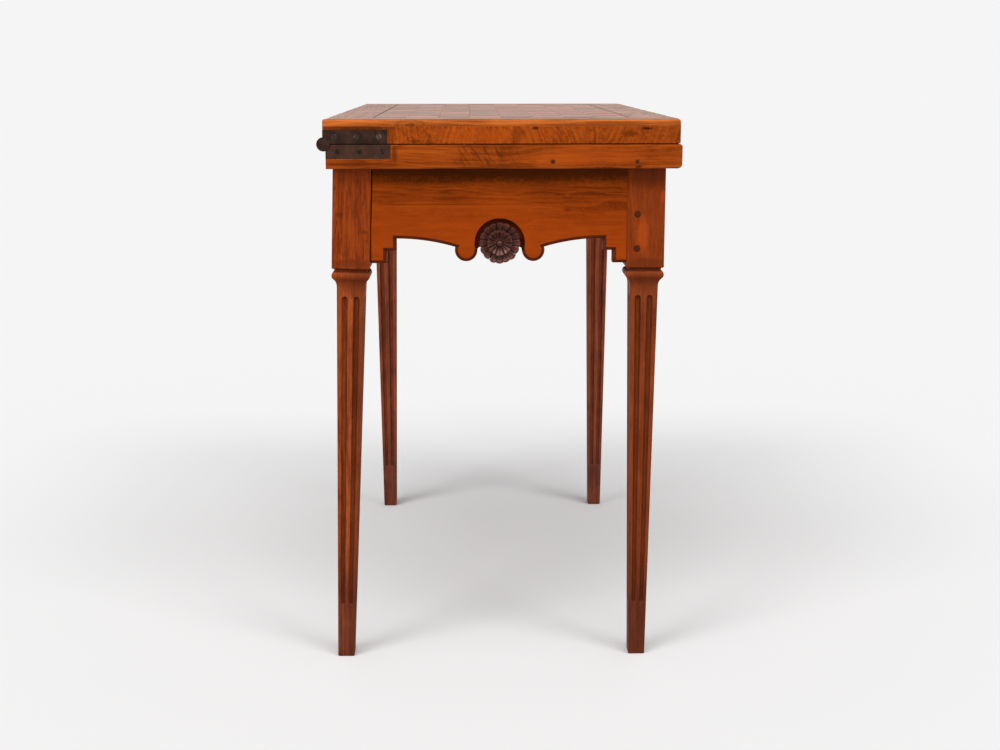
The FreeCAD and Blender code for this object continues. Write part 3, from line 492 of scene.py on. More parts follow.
CLAMP_MARKS = (
    ((-0.175, NEAR_END, 0.6800), (0.085, 0.04, 0.0100), 0.30, 0.85),
    ((0.178, NEAR_END, 0.6795), (0.006, 0.02, 0.0030), 0.80, 0.15),
    ((0.067, NEAR_END, 0.6875), (0.007, 0.02, 0.0040), 0.50, 0.25),
    ((-0.135, NEAR_END, 0.6960), (0.0045, 0.02, 0.0150), 0.60, 0.22),
    ((0.110, NEAR_END, 0.6930), (0.110, 0.02, 0.0170), 0.50, 1.35),
    ((-0.180, NEAR_END, 0.6832), (0.062, 0.02, 0.0020), 0.60, 0.25),
)
BOARD_MARKS = (
    ((0.0455, NEAR_END, 0.7285), (0.006, 0.02, 0.0028), 0.90, 0.10),
    ((0.188, NEAR_END, 0.7280), (0.008, 0.02, 0.0026), 0.95, 0.06),
    ((0.166, NEAR_END, 0.7215), (0.015, 0.02, 0.0060), 0.65, 0.25),
    ((-0.108, NEAR_END, 0.7120), (0.012, 0.02, 0.0030), 0.60, 0.22),
    # Painted shadow along the boards just above the near flap strap.
    ((-0.185, NEAR_END, 0.7290), (0.075, 0.02, 0.0040), 0.70, 0.20),
    ((-0.139, NEAR_END, 0.7180), (0.008, 0.02, 0.0200), 0.45, 0.35),
    ((-0.025, NEAR_END, 0.7190), (0.070, 0.02, 0.0150), 0.55, 1.40),
    ((0.021, NEAR_END, 0.7180), (0.009, 0.02, 0.0160), 0.50, 0.40),
    ((0.060, NEAR_END, 0.7210), (0.030, 0.02, 0.0100), 0.35, 1.35),
)
APRON_MARKS = (
    # The apron is painted paler towards its lower edge, and a painted shadow lies under the leaf's overhang
    # along its top.
    ((0.0, NEAR_END, 0.585), (0.55, 0.60, 0.065), 0.55, 1.50),
    ((0.0, NEAR_END, 0.6768), (0.60, 0.60, 0.025), 0.86, 0.14),
    ((-0.075, NEAR_END, 0.6300), (0.120, 0.05, 0.0012), 0.65, 0.30),
    ((0.085, NEAR_END, 0.6325), (0.080, 0.05, 0.0012), 0.50, 0.35),
    ((0.088, NEAR_END, 0.6225), (0.007, 0.05, 0.0040), 0.45, 0.30),
    # Painted shade in the gap between the apron's end and the swing leg.
    ((-0.1688, NEAR_END, 0.5700), (0.0022, 0.05, 0.0300), 0.85, 0.10),
)
# Below the collar the legs change to the shaft colour, and towards the floor they darken to the foot colour
# as painted shade.
LEGS = {
    "ring": 0.012, "wander": 0.012, "fibre": 1.3, "contrast": 0.85, "corner_wax_and_shade": 0.85, "corner": 0.020,
    "filled": 0.66, "spread": 0.55, "below": (("shaft_wood", 0.57, 0.50), ("foot_wood", 0.22, 0.03)),
    "marks": LEG_MARKS,
}
SQUARES = {"ring": 0.005, "wander": 0.010, "rough": 0.34, "specular": 0.45, "spread": 0.60}

# Each finish in wood: its material's name, its colour in the panel and how it is figured.
WOODS = {
    "border": ("leaf_cherry_border", "border_wood", {
        "ring": 0.007, "wander": 0.014, "contrast": 0.8, "specular": 0.5, "rough": 0.34,
        "marks": [((-0.112, NEAR_END, 0.7335), (0.036, 0.03, 0.0090), 0.45, 0.45)],
        "knots": [((-0.114, NEAR_END, 0.7330), (0.025, 0.03, 0.0085), 0.9)],
    }),
    # Darker copy of the border's wood for its upper faces: painted light, not a change of wood.
    "border_top": ("leaf_cherry_upper_painted_darker", "top_wood", {
        "ring": 0.007, "wander": 0.014, "contrast": 0.7, "specular": 0.5, "rough": 0.36,
    }),
    "leaf_long": ("leaf_cherry_long", "leaf_wood", {
        "ring": 0.007, "wander": 0.012, "fibre": 0.9, "marks": CLAMP_MARKS,
        "flames": [((-0.020, NEAR_END, 0.694), (0.062, 0.06, 0.022), 0.80)],
    }),
    "leaf_end": ("leaf_cherry_boards", "leaf_wood", {
        "ring": 0.0042, "wander": 0.006, "fibre": 1.6, "contrast": 0.98, "marks": BOARD_MARKS,
        "flames": [((0.010, NEAR_END, 0.7205), (0.120, 0.04, 0.014), 0.28)],
    }),
    "apron": ("apron_cherry", "apron_wood", {
        "ring": 0.014, "wander": 0.022, "fibre": 0.9, "contrast": 0.95, "marks": APRON_MARKS,
    }),
    "leg": ("leg_walnut", "leg_wood", {**LEGS, "specular": 0.22, "glow": (1.0, 0.66, 0.46)}),
    # Copy of the leg finish for the far legs, with a stronger and greyer reflection: a painted reflection for
    # legs that stand in shade.
    "far_leg": ("leg_walnut_far", "leg_wood", {**LEGS, "specular": 0.36, "glow": (0.9, 0.95, 1.0)}),
    # The carving's hollows are darkened and its edges brightened strongly: painted shade and painted
    # highlight over its dark stain.
    "carving": ("dark_carving", "carving_wood", {
        "ring": 0.004, "wander": 0.008, "rough": 0.22, "specular": 0.70, "contrast": 0.9, "corner_wax_and_shade": 1.0,
        "corner": 0.007, "filled": 0.62, "spread": 0.95, "rubbed": (0.85, 2.4), "glow": (1.0, 0.62, 0.52),
    }),
    # Dark finish of the chamfers, the shaped lower edges and the recesses: partly stain, partly painted
    # shade.
    "edge_stain": ("stained_and_shaded_apron_edge", "edge_wood", {
        "ring": 0.004, "wander": 0.008, "rough": 0.50, "specular": 0.12, "contrast": 0.9,
        "glow": (1.0, 0.35, 0.12),
    }),
    "pale_square": ("pale_square", "pale_square", {**SQUARES, "contrast": 0.7}),
    "dark_square": ("dark_square", "dark_square", {**SQUARES, "contrast": 0.8}),
    "string": ("string_line", "string_wood", {
        "ring": 0.004, "wander": 0.006, "rough": 0.50, "specular": 0.22, "contrast": 0.4,
    }),
    "rail": ("rail_oak", "rail_wood", {
        "ring": 0.005, "wander": 0.016, "fibre": 1.6, "rough": 0.72, "specular": 0.2, "contrast": 0.8,
    }),
    "peg": ("peg_wood", "peg_wood", {"ring": 0.002, "wander": 0.004, "contrast": 0.6}),
}
# Each finish in iron: its material's name, its colour in the panel, the share of it, how bare and how rough.
IRONS = {
    "iron": ("wrought_iron", "iron", 1.0, 0.4, 0.46),
    "screw": ("screw_iron", "screw_iron", 1.0, 0.7, 0.34),
    "dull_screw": ("screw_iron_dull", "screw_iron", 0.42, 0.4, 0.46),
}
# Each finish in cloth: its material's name and its colour in the panel.
CLOTHS = {"cloth": ("green_cloth", "cloth")}


@cache
def finish_of(name):
    """The named finish, made once from the colours in the panel."""
    tints = bpy.context.scene.table_finishes
    if name in WOODS:
        label, tint, figure = WOODS[name]
        return wood_material(label, getattr(tints, tint), **figure)
    if name in IRONS:
        label, tint, share, metal, rough = IRONS[name]
        return iron_material(label, shade(getattr(tints, tint), share)[:3], metal, rough)
    label, tint = CLOTHS[name]
    return cloth_material(label, getattr(tints, tint))


# Mesh helpers


def mesh_of(bm, name):
    mesh = bpy.data.meshes.new(name)
    bm.to_mesh(mesh)
    bm.free()
    return mesh


def copy_of(node, tidy=True):
    """Merged copy of a CAD node's mesh in which solids that touch stay apart."""
    mesh = frame["nodes"][node].data
    bm = bmesh.new()
    corners, open_edges = {}, set()
    for polygon in mesh.polygons:
        places = [tuple(round(x, 7) for x in mesh.vertices[i].co) for i in polygon.vertices]
        if len(set(places)) < 3:
            continue
        for place in places:
            if place not in corners:
                corners[place] = bm.verts.new(place)
        bm.faces.new([corners[place] for place in places])
        for edge in zip(places, places[1:] + places[:1]):
            if edge[::-1] in open_edges:
                open_edges.remove(edge[::-1])
            else:
                open_edges.add(edge)
        if not open_edges:
            # This solid is closed; the next face belongs to another one.
            corners = {}
    bm.normal_update()
    if tidy:
        bmesh.ops.dissolve_limit(bm, angle_limit=FLAT_JOIN, verts=bm.verts, edges=bm.edges)
    return bm


def islands(bm):
    """Lists of the vertices of each separate solid."""
    bm.verts.ensure_lookup_table()
    left = set(bm.verts)
    found = []
    while left:
        stack = [left.pop()]
        solid = []
        while stack:
            vert = stack.pop()
            solid.append(vert)
            for edge in vert.link_edges:
                other = edge.other_vert(vert)
                if other in left:
                    left.remove(other)
                    stack.append(other)
        found.append(solid)
    return sorted(found, key=lambda s: tuple(round(x, 4) for x in min(v.co[:] for v in s)))


def box_of(solid):
    """Lowest and highest corner of a solid's vertices."""
    return [Vector([pick(v.co[k] for v in solid) for k in range(3)]) for pick in (min, max)]


def boxes_of(node):
    """Lowest and highest corner of each solid in a CAD node."""
    bm = copy_of(node, tidy=False)
    found = [box_of(solid) for solid in islands(bm)]
    bm.free()
    return found


def long_way(solid):
    """The axis along which a solid is longest."""
    low, high = box_of(solid)
    reach = list(high - low)
    return "xyz"[reach.index(max(reach))]


def lay_grain(bm, run, seed, heart=(0.05, 0.09), lie=(0, 360), fine=1.0):
    """Give each solid its own block of wood: its run, where its heart lies, how pale and how fine it is."""
    grain = bm.verts.layers.float_vector.new("grain")
    tone = bm.verts.layers.float.new("tone")
    dice = random.Random(seed)
    for solid in islands(bm):
        way = run(solid) if callable(run) else run
        middle = sum((v.co for v in solid), Vector()) / len(solid)
        angle = math.radians(dice.uniform(*lie))
        far = dice.uniform(*heart)
        shift = Vector((far * math.cos(angle), far * math.sin(angle), dice.uniform(-5, 5)))
        depth = dice.random()
        for vert in solid:
            vert[grain] = RUN[way] @ (vert.co - middle) * fine + shift
            vert[tone] = depth
    return bm


def ease_edges(bm, width, shortest=0.008):
    """Take the arris off the sharp edges that are long enough."""
    sharp = [
        e for e in bm.edges
        if e.is_manifold and e.calc_length() > shortest and e.calc_face_angle() > SHARP_EDGE
    ]
    bmesh.ops.bevel(
        bm, geom=sharp, offset=width, segments=2, affect="EDGES", profile=0.6, clamp_overlap=True
    )
    return bm


def chip_places(low, high):
    """Evenly spaced places between two ends, where a worn arris is cut."""
    steps = round((high - low) / CHIP_STEP)
    return [low + (high - low) * k / steps for k in range(1, steps)]


def cut_across(bm, axis, places):
    """Cut the whole mesh at the given places along an axis, leaving it closed."""
    for place in places:
        spot, way = Vector(), Vector()
        spot[axis], way[axis] = place, 1
        whole = list(bm.verts) + list(bm.edges) + list(bm.faces)
        bmesh.ops.bisect_plane(bm, geom=whole, dist=1e-6, plane_co=spot, plane_no=way)


def wear_edge(bm, along, corner, inward, depth, reach, seed):
    """Rub down and chip an arris that runs along an axis through a corner, moving it inward only."""
    cross = [k for k in range(3) if k != along]
    for vert in bm.verts:
        off = math.hypot(*(vert.co[k] - corner[k] for k in cross))
        if off >= reach:
            continue
        place = vert.co[along]
        slow = noise.noise(Vector((place * 34, seed, 0)))
        quick = noise.noise(Vector((place * 120, seed, 4)))
        chip = noise.noise(Vector((place * 19, seed, 9)))
        worn = max(0, 0.35 + 0.9 * slow) * 0.55 + max(0, quick) * 0.35 + max(0, chip - 0.28) * 1.6
        for k in cross:
            vert.co[k] += inward[k] * depth * worn * (1 - off / reach) ** 2


def lathe(outline, steps):
    """Closed turned solid from (radius, height) points that start and end on the axis."""
    bm = bmesh.new()
    rings = []
    for radius, height in outline:
        if radius == 0:
            rings.append([bm.verts.new((0, 0, height))])
            continue
        rings.append([
            bm.verts.new((radius * math.cos(a), radius * math.sin(a), height))
            for a in (2 * math.pi * k / steps for k in range(steps))
        ])
    for low, high in zip(rings, rings[1:]):
        for k in range(steps):
            quad = [low[k % len(low)], low[(k + 1) % len(low)],
                    high[(k + 1) % len(high)], high[k % len(high)]]
            unique = list(dict.fromkeys(quad))
            if len(unique) > 2:
                bm.faces.new(unique)
    bmesh.ops.recalc_face_normals(bm, faces=bm.faces)
    return bm


def close_grid(bm, top, foot, across, along):
    """Closed slab from two grids of vertices, each looked up by (column, row)."""
    for i in range(across):
        for j in range(along):
            ring = ((i, j), (i + 1, j), (i + 1, j + 1), (i, j + 1))
            bm.faces.new([top[k] for k in ring])
            bm.faces.new([foot[k] for k in (ring[0], ring[3], ring[2], ring[1])])
    rim = [(i, 0) for i in range(across)] + [(across, j) for j in range(along)]
    rim += [(across - i, along) for i in range(across)] + [(0, along - j) for j in range(along)]
    for here, follow in zip(rim, rim[1:] + rim[:1]):
        bm.faces.new([top[here], foot[here], foot[follow], top[follow]])
    bmesh.ops.recalc_face_normals(bm, faces=bm.faces)
    return bm


def put(shape, node, ending, finishes, smooth=35.0):
    """Turn a shape into a finished piece that rides on its CAD node's body and stands for the node."""
    name = node + ending
    mesh = mesh_of(shape, name) if isinstance(shape, bmesh.types.BMesh) else shape
    for finish in finishes:
        mesh.materials.append(finish_of(finish))
    mesh.set_sharp_from_angle(angle=math.radians(smooth))
    # Broad faces are flat; only the narrow facets of a curve are shaded as one surface.
    curved = [len(p.vertices) < 5 and p.area < NARROW_FACE for p in mesh.polygons]
    mesh.polygons.foreach_set("use_smooth", curved)
    piece = bpy.data.objects.new(name, mesh)
    bpy.context.scene.collection.objects.link(piece)
    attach(piece, frame["nodes"][node]["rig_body"])
    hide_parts(node)
    return piece


def wooden_copy(node, run, finish, seed, heart=(0.05, 0.09), lie=(0, 360), arris=0.0):
    """A CAD node with its own wood laid into it, and its long arrises eased."""
    bm = copy_of(node)
    if arris:
        ease_edges(bm, arris)
    lay_grain(bm, run, seed, heart, lie)
    return put(bm, node, "_wood", [finish])


# Geometry node trees


def new_geometry(name, inputs):
    shape = ("Geometry", "Geometry")
    return new_group("Geometry", name, [shape] + inputs + [("Material", "Finish")], [shape])


def random_value(w, kind, low, high, seed, offset):
    first, second, output = {"FLOAT": (2, 3, 1), "FLOAT_VECTOR": (0, 1, 0)}[kind]
    inputs = {first: low, second: high, "Seed": w.math("ADD", seed, offset)}
    return w.add("FunctionNodeRandomValue", inputs, data_type=kind).outputs[output]


def named_vector(w, name):
    return w.add("GeometryNodeInputNamedAttribute", {"Name": name}, data_type="FLOAT_VECTOR").outputs[0]


def store(w, geometry, label, kind, domain, value):
    inputs = {"Geometry": geometry, "Name": label, "Value": value}
    return w.add("GeometryNodeStoreNamedAttribute", inputs, data_type=kind, domain=domain).outputs[0]


def realize(w, instances):
    return w.add("GeometryNodeRealizeInstances", {"Geometry": instances}).outputs[0]


def set_finish(w, geometry, finish):
    made = w.add("GeometryNodeSetMaterial", {"Geometry": geometry, "Material": finish})
    return w.close({0: made.outputs[0]})


@cache
def tile_field():
    """Squares of one shade of a chessboard, each with its own tone and cut of wood."""
    w, source = new_geometry("tile_field", [
        ("Int", "Columns", 8), ("Int", "Rows", 16), ("Float", "Column Width", 0.04),
        ("Float", "Row Length", 0.04), ("Int", "Shade", 0), ("Vector", "Middle"), ("Float", "Seed", 1.0),
    ])
    across = w.math("MULTIPLY", w.math("SUBTRACT", source["Columns"], 1.0), source["Column Width"])
    along = w.math("MULTIPLY", w.math("SUBTRACT", source["Rows"], 1.0), source["Row Length"])
    grid = w.add("GeometryNodeMeshGrid", {
        "Size X": across, "Size Y": along, "Vertices X": source["Columns"], "Vertices Y": source["Rows"],
    })
    index = w.add("GeometryNodeInputIndex").outputs[0]
    column = w.math("FLOOR", w.math("DIVIDE", index, source["Rows"]))
    row = w.math("MODULO", index, source["Rows"])
    odd = w.math("MODULO", w.math("ADD", w.math("ADD", column, row), source["Shade"]), 2.0)
    kept = w.add("GeometryNodeDeleteGeometry", {"Geometry": grid.outputs[0], "Selection": odd})
    placed = w.add("GeometryNodeSetPosition", {"Geometry": kept.outputs[0], "Offset": source["Middle"]})
    tiles = w.add("GeometryNodeInstanceOnPoints", {
        "Points": placed.outputs[0], "Instance": source["Geometry"],
    }).outputs[0]
    tone = random_value(w, "FLOAT", 0.0, 1.0, source["Seed"], 1.0)
    tiles = store(w, tiles, "tone", "FLOAT", "INSTANCE", tone)
    shift = random_value(w, "FLOAT_VECTOR", (0.03, 0.03, -5.0), (0.12, 0.12, 5.0), source["Seed"], 2.0)
    solid = realize(w, store(w, tiles, "shift", "FLOAT_VECTOR", "INSTANCE", shift))
    here = w.add("ShaderNodeSeparateXYZ", {0: w.add("GeometryNodeInputPosition").outputs[0]}).outputs
    turned = w.add("ShaderNodeCombineXYZ", {0: here[1], 1: here[2], 2: here[0]}).outputs[0]
    grain = w.vector("ADD", turned, named_vector(w, "shift"))
    return set_finish(w, store(w, solid, "grain", "FLOAT_VECTOR", "POINT", grain), source["Finish"])


@cache
def fastener_set():
    """A fastener at each point, pointed along the point's aim and given a turn of its own."""
    w, source = new_geometry("fastener_set", [("Object", "Fastener"), ("Float", "Seed", 1.0)])
    facing = w.add("FunctionNodeAlignRotationToVector", {"Vector": named_vector(w, "aim")}, axis="Z")
    pattern = w.add("GeometryNodeObjectInfo", {"Object": source["Fastener"]}).outputs["Geometry"]
    placed = w.add("GeometryNodeInstanceOnPoints", {
        "Points": source["Geometry"], "Instance": pattern, "Rotation": facing.outputs[0],
    }).outputs[0]
    turn = random_value(w, "FLOAT", 0.0, 6.28, source["Seed"], 1.0)
    spin = w.add("ShaderNodeCombineXYZ", {2: turn}).outputs[0]
    placed = w.add("GeometryNodeRotateInstances", {"Instances": placed, "Rotation": spin}).outputs[0]
    # A random tone for each fastener; the iron finish makes the palest heads bright, partly as painted
    # glints.
    tone = random_value(w, "FLOAT", 0.0, 1.0, source["Seed"], 2.0)
    return set_finish(w, realize(w, store(w, placed, "tone", "FLOAT", "INSTANCE", tone)), source["Finish"])


@cache
def petal_ring():
    """Petals set round a centre."""
    w, source = new_geometry("petal_ring", [("Int", "Count", 16), ("Float", "Seed", 1.0)])
    circle = w.add("GeometryNodeMeshCircle", {"Vertices": source["Count"], "Radius": 0.001})
    point = w.add("GeometryNodeInputPosition").outputs[0]
    facing = w.add("FunctionNodeAlignRotationToVector", {"Vector": point}, axis="X").outputs[0]
    centre = w.add("GeometryNodeCaptureAttribute", {"Geometry": circle.outputs[0]})
    centre.capture_items.new("ROTATION", "Facing")
    w.feed(centre, {"Facing": facing})
    middle = w.add("GeometryNodeSetPosition", {"Geometry": centre.outputs[0], "Position": (0, 0, 0)})
    petals = w.add("GeometryNodeInstanceOnPoints", {
        "Points": middle.outputs[0], "Instance": source["Geometry"], "Rotation": centre.outputs["Facing"],
    }).outputs[0]
    # No two petals leave the chisel alike.
    lean = random_value(w, "FLOAT_VECTOR", (-0.03, -0.03, -0.035), (0.03, 0.03, 0.035), source["Seed"], 1.0)
    petals = w.add("GeometryNodeRotateInstances", {"Instances": petals, "Rotation": lean}).outputs[0]
    size = random_value(w, "FLOAT_VECTOR", (0.965, 0.93, 0.92), (1.0, 1.05, 1.05), source["Seed"], 2.0)
    petals = w.add("GeometryNodeScaleInstances", {"Instances": petals, "Scale": size}).outputs[0]
    return set_finish(w, realize(w, petals), source["Finish"])


def grown(tree, mesh, values):
    """Plain mesh, still without a finish, that a node tree makes; values are the tree's named inputs."""
    carrier = bpy.data.objects.new("carrier", mesh)
    bpy.context.scene.collection.objects.link(carrier)
    modifier = carrier.modifiers.new(tree.name, "NODES")
    modifier.node_group = tree
    for item in tree.interface.items_tree:
        if item.in_out == "INPUT" and item.name in values:
            modifier[item.identifier] = values[item.name]
    bpy.context.view_layer.update()
    seen = carrier.evaluated_get(bpy.context.evaluated_depsgraph_get())
    made = bpy.data.meshes.new_from_object(seen)
    made.materials.clear()
    carrier.modifiers.remove(modifier)
    bpy.data.objects.remove(carrier)
    return made


# Pieces


class GAMESTABLE_OT_stage(bpy.types.Operator):
    """White floor, soft lamps and the camera at the front of the near end"""

    bl_idname = "gamestable.stage"
    bl_label = "Studio"

    def execute(self, context):
        studio = context.scene.table_studio
        context.scene.view_settings.view_transform = "Standard"
        self.floor(context, studio)
        self.world(context, studio)
        for name, strength, rise, aside, spread in (
            ("left_lamp", studio.left_lamp, 44, -46, 22),
            ("right_lamp", studio.right_lamp, 44, 48, 22),
            ("overhead_lamp", studio.overhead, 64, -4, 50),
        ):
            self.lamp(context, name, strength, rise, aside, spread)
        view = bpy.data.cameras.new("camera")
        view.lens = studio.lens
        view.sensor_width = 36
        view.clip_end = 100
        camera = bpy.data.objects.new("camera", view)
        camera.location = (-0.0377, -2.2853, 0.8051)
        camera.rotation_euler = [math.radians(turn) for turn in (90 - 11.926, 0.04, -1.148)]
        context.scene.collection.objects.link(camera)
        context.scene.camera = camera
        return {"FINISHED"}

    def grey(self, tone):
        return (tone, tone, tone, 1)

    def floor(self, context, studio):
        bm = bmesh.new()
        bmesh.ops.create_grid(bm, x_segments=1, y_segments=1, size=40)
        mesh = mesh_of(bm, "floor")
        material, w, shader = new_material("floor_paper", {"Roughness": 0.9, "Specular IOR Level": 0.0})
        ray = w.add("ShaderNodeLightPath").outputs["Is Camera Ray"]
        tone = w.mix(ray, self.grey(studio.floor_bounce), self.grey(studio.floor_tone))
        w.feed(shader, {"Base Color": tone})
        mesh.materials.append(material)
        floor = bpy.data.objects.new("floor", mesh)
        context.scene.collection.objects.link(floor)

    def world(self, context, studio):
        """Dim light from all round, which the camera and reflections see as the white background."""
        world = bpy.data.worlds.new("studio")
        world.use_nodes = True
        context.scene.world = world
        w = Wiring(world.node_tree)
        ray = w.add("ShaderNodeLightPath").outputs
        seen = w.math("MAXIMUM", ray["Is Camera Ray"], ray["Is Glossy Ray"])
        seen = w.math("MAXIMUM", seen, ray["Is Transmission Ray"])
        tone = w.mix(seen, self.grey(studio.ambient), self.grey(studio.background))
        w.feed(world.node_tree.nodes["Background"], {"Color": tone})

    def lamp(self, context, name, strength, rise, aside, spread):
        """Wide soft sun, so many degrees above the floor and to the side of the near end."""
        data = bpy.data.lights.new(name, "SUN")
        data.energy = strength
        data.angle = math.radians(spread)
        lamp = bpy.data.objects.new(name, data)
        lamp.rotation_euler = (math.radians(90 - rise), 0, math.radians(aside))
        context.scene.collection.objects.link(lamp)


class GAMESTABLE_OT_leaves(bpy.types.Operator):
    """Boards and border of the flap, panel and clamps of the fixed leaf"""

    bl_idname = "gamestable.leaves"
    bl_label = "Leaves"

    def execute(self, context):
        board_arris, border_arris, clamp_arris = 0.0003, 0.0009, 0.0012
        rub_depth, rub_reach = 0.0013, 0.006
        wooden_copy(
            "flap_boards", "y", "leaf_end", 3, (0.08, 0.13), (65, 115), arris=board_arris
        )
        bm = lay_grain(ease_edges(copy_of("flap_border"), border_arris), long_way, 5)
        self.wear_border(bm)
        # The upper faces take a darker copy of the border wood than the sides: painted light, not a change of
        # wood.
        for face in bm.faces:
            face.material_index = 1 if face.normal.z > 0.8 else 0
        put(bm, "flap_border", "_wood", ["border", "border_top"])
        wooden_copy("fixed_leaf_panel", "y", "leaf_end", 7)
        for node, seed, end in (("near_clamp", 11, 0), ("far_clamp", 13, 1)):
            bm = ease_edges(copy_of(node), clamp_arris)
            low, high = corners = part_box(node)
            cut_across(bm, 0, chip_places(low.x, high.x))
            corner = Vector((0, corners[end].y, low.z))
            wear_edge(bm, 0, corner, Vector((0, 1 - 2 * end, 1)), rub_depth, rub_reach, seed)
            lay_grain(bm, "x", seed, (0.07, 0.10), (20, 70))
            put(bm, node, "_wood", ["leaf_long"])
        return {"FINISHED"}

    def wear_border(self, bm):
        """Rub the flap's upper arrises on all four sides."""
        low, high = FLAP_LOW, FLAP_HIGH
        rub_depth, rub_reach = 0.0016, 0.008
        # Further cuts close to the arrises, so that the wear fades out evenly
        beside, beneath = (0.003, 0.006), (0.0025, 0.005)
        for axis in (0, 1):
            rims = [low[axis] + d for d in beside] + [high[axis] - d for d in beside]
            cut_across(bm, axis, chip_places(low[axis], high[axis]) + rims)
        cut_across(bm, 2, [TABLE_TOP - d for d in beneath])
        for along, side, corner in ((0, 1, low), (0, -1, high), (1, 1, low), (1, -1, high)):
            corner = Vector((corner.x, corner.y, TABLE_TOP))
            inward = Vector((side, side, -1))
            wear_edge(bm, along, corner, inward, rub_depth, rub_reach, 11 + 3 * along + side)
        bm.normal_update()


class GAMESTABLE_OT_parquetry(bpy.types.Operator):
    """Light and dark squares, the dark string round them and the ground below"""

    bl_idname = "gamestable.parquetry"
    bl_label = "Parquetry"

    def execute(self, context):
        shapes = context.scene.table_shapes
        width = (FIELD_HIGH.x - FIELD_LOW.x) / shapes.columns
        run = (FIELD_HIGH.y - FIELD_LOW.y) / shapes.rows
        middle = (FIELD_LOW + FIELD_HIGH) / 2
        middle.z = TABLE_TOP
        for parity, node, finish in ((0, "dark_squares", "dark_square"), (1, "light_squares", "pale_square")):
            made = grown(tile_field(), self.tile(shapes, width, run), {
                "Columns": shapes.columns, "Rows": shapes.rows, "Column Width": width,
                "Row Length": run, "Shade": parity, "Middle": middle, "Seed": 4.0 + parity,
                "Finish": finish_of(finish),
            })
            put(made, node, "_laid", [finish])
        wooden_copy("flap_string", long_way, "string", 17)
        wooden_copy("parquet_ground", "y", "rail", 19)
        return {"FINISHED"}

    def tile(self, shapes, width, run):
        """One square with its top at the origin and its upper edges rounded."""
        bm = bmesh.new()
        bmesh.ops.create_cube(bm, size=1)
        joint, deep, rounding = shapes.tile_joint, shapes.tile_thickness, 0.0003
        bmesh.ops.scale(bm, verts=bm.verts, vec=(width - joint, run - joint, deep))
        bmesh.ops.translate(bm, verts=bm.verts, vec=(0, 0, -deep / 2))
        top = [e for e in bm.edges if all(v.co.z > -deep / 2 for v in e.verts)]
        bmesh.ops.bevel(bm, geom=top, offset=rounding, segments=2, affect="EDGES", profile=0.5)
        return mesh_of(bm, "tile")


class GAMESTABLE_OT_cloths(bpy.types.Operator):
    """Green cloth laid into the inner faces of both leaves"""

    bl_idname = "gamestable.cloths"
    bl_label = "Playing cloth"

    def execute(self, context):
        ripple = context.scene.table_shapes.cloth_ripple
        for node, carrier, up in (
            ("fixed_leaf_cloth", "fixed_leaf_panel", 1), ("flap_cloth", "flap_boards", -1),
        ):
            low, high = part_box(node)
            piece = put(self.cloth(low, high, up, ripple), node, "_baize", ["cloth"])
        return {"FINISHED"}

    def cloth(self, low, high, up, ripple):
        """Thin sheet whose open face ripples a little and is pressed down along its edge."""
        dice = random.Random(23)
        bm = bmesh.new()
        across, along, pressed_share = 60, 100, 0.25
        pressed = -up * (high.z - low.z) * pressed_share
        faces = {1: {}, -1: {}}
        for side, level_z in ((1, high.z), (-1, low.z)):
            for i in range(across + 1):
                for j in range(along + 1):
                    lift = ripple * (dice.random() - 0.5) if side == up else 0
                    if side == up and min(i, across - i, j, along - j) == 0:
                        lift = pressed
                    faces[side][i, j] = bm.verts.new((
                        low.x + (high.x - low.x) * i / across,
                        low.y + (high.y - low.y) * j / along,
                        level_z + lift,
                    ))
        return close_grid(bm, faces[1], faces[-1], across, along)


class GAMESTABLE_OT_hinges(bpy.types.Operator):
    """Forged strap hinges and their riveted pins"""

    bl_idname = "gamestable.hinges"
    bl_label = "Strap hinges"

    def execute(self, context):
        arris = context.scene.table_shapes.iron_arris
        for end in ("near", "far"):
            for part, bare in (("flap_strap", 0.0), ("leaf_strap", 0.74), ("hinge_pin", 0.0)):
                node = end + "_" + part
                bm = ease_edges(copy_of(node), arris, shortest=0)
                tone = bm.verts.layers.float.new("tone")
                for vert in bm.verts:
                    vert[tone] = bare
                put(bm, node, "_forged", ["iron"])
        return {"FINISHED"}


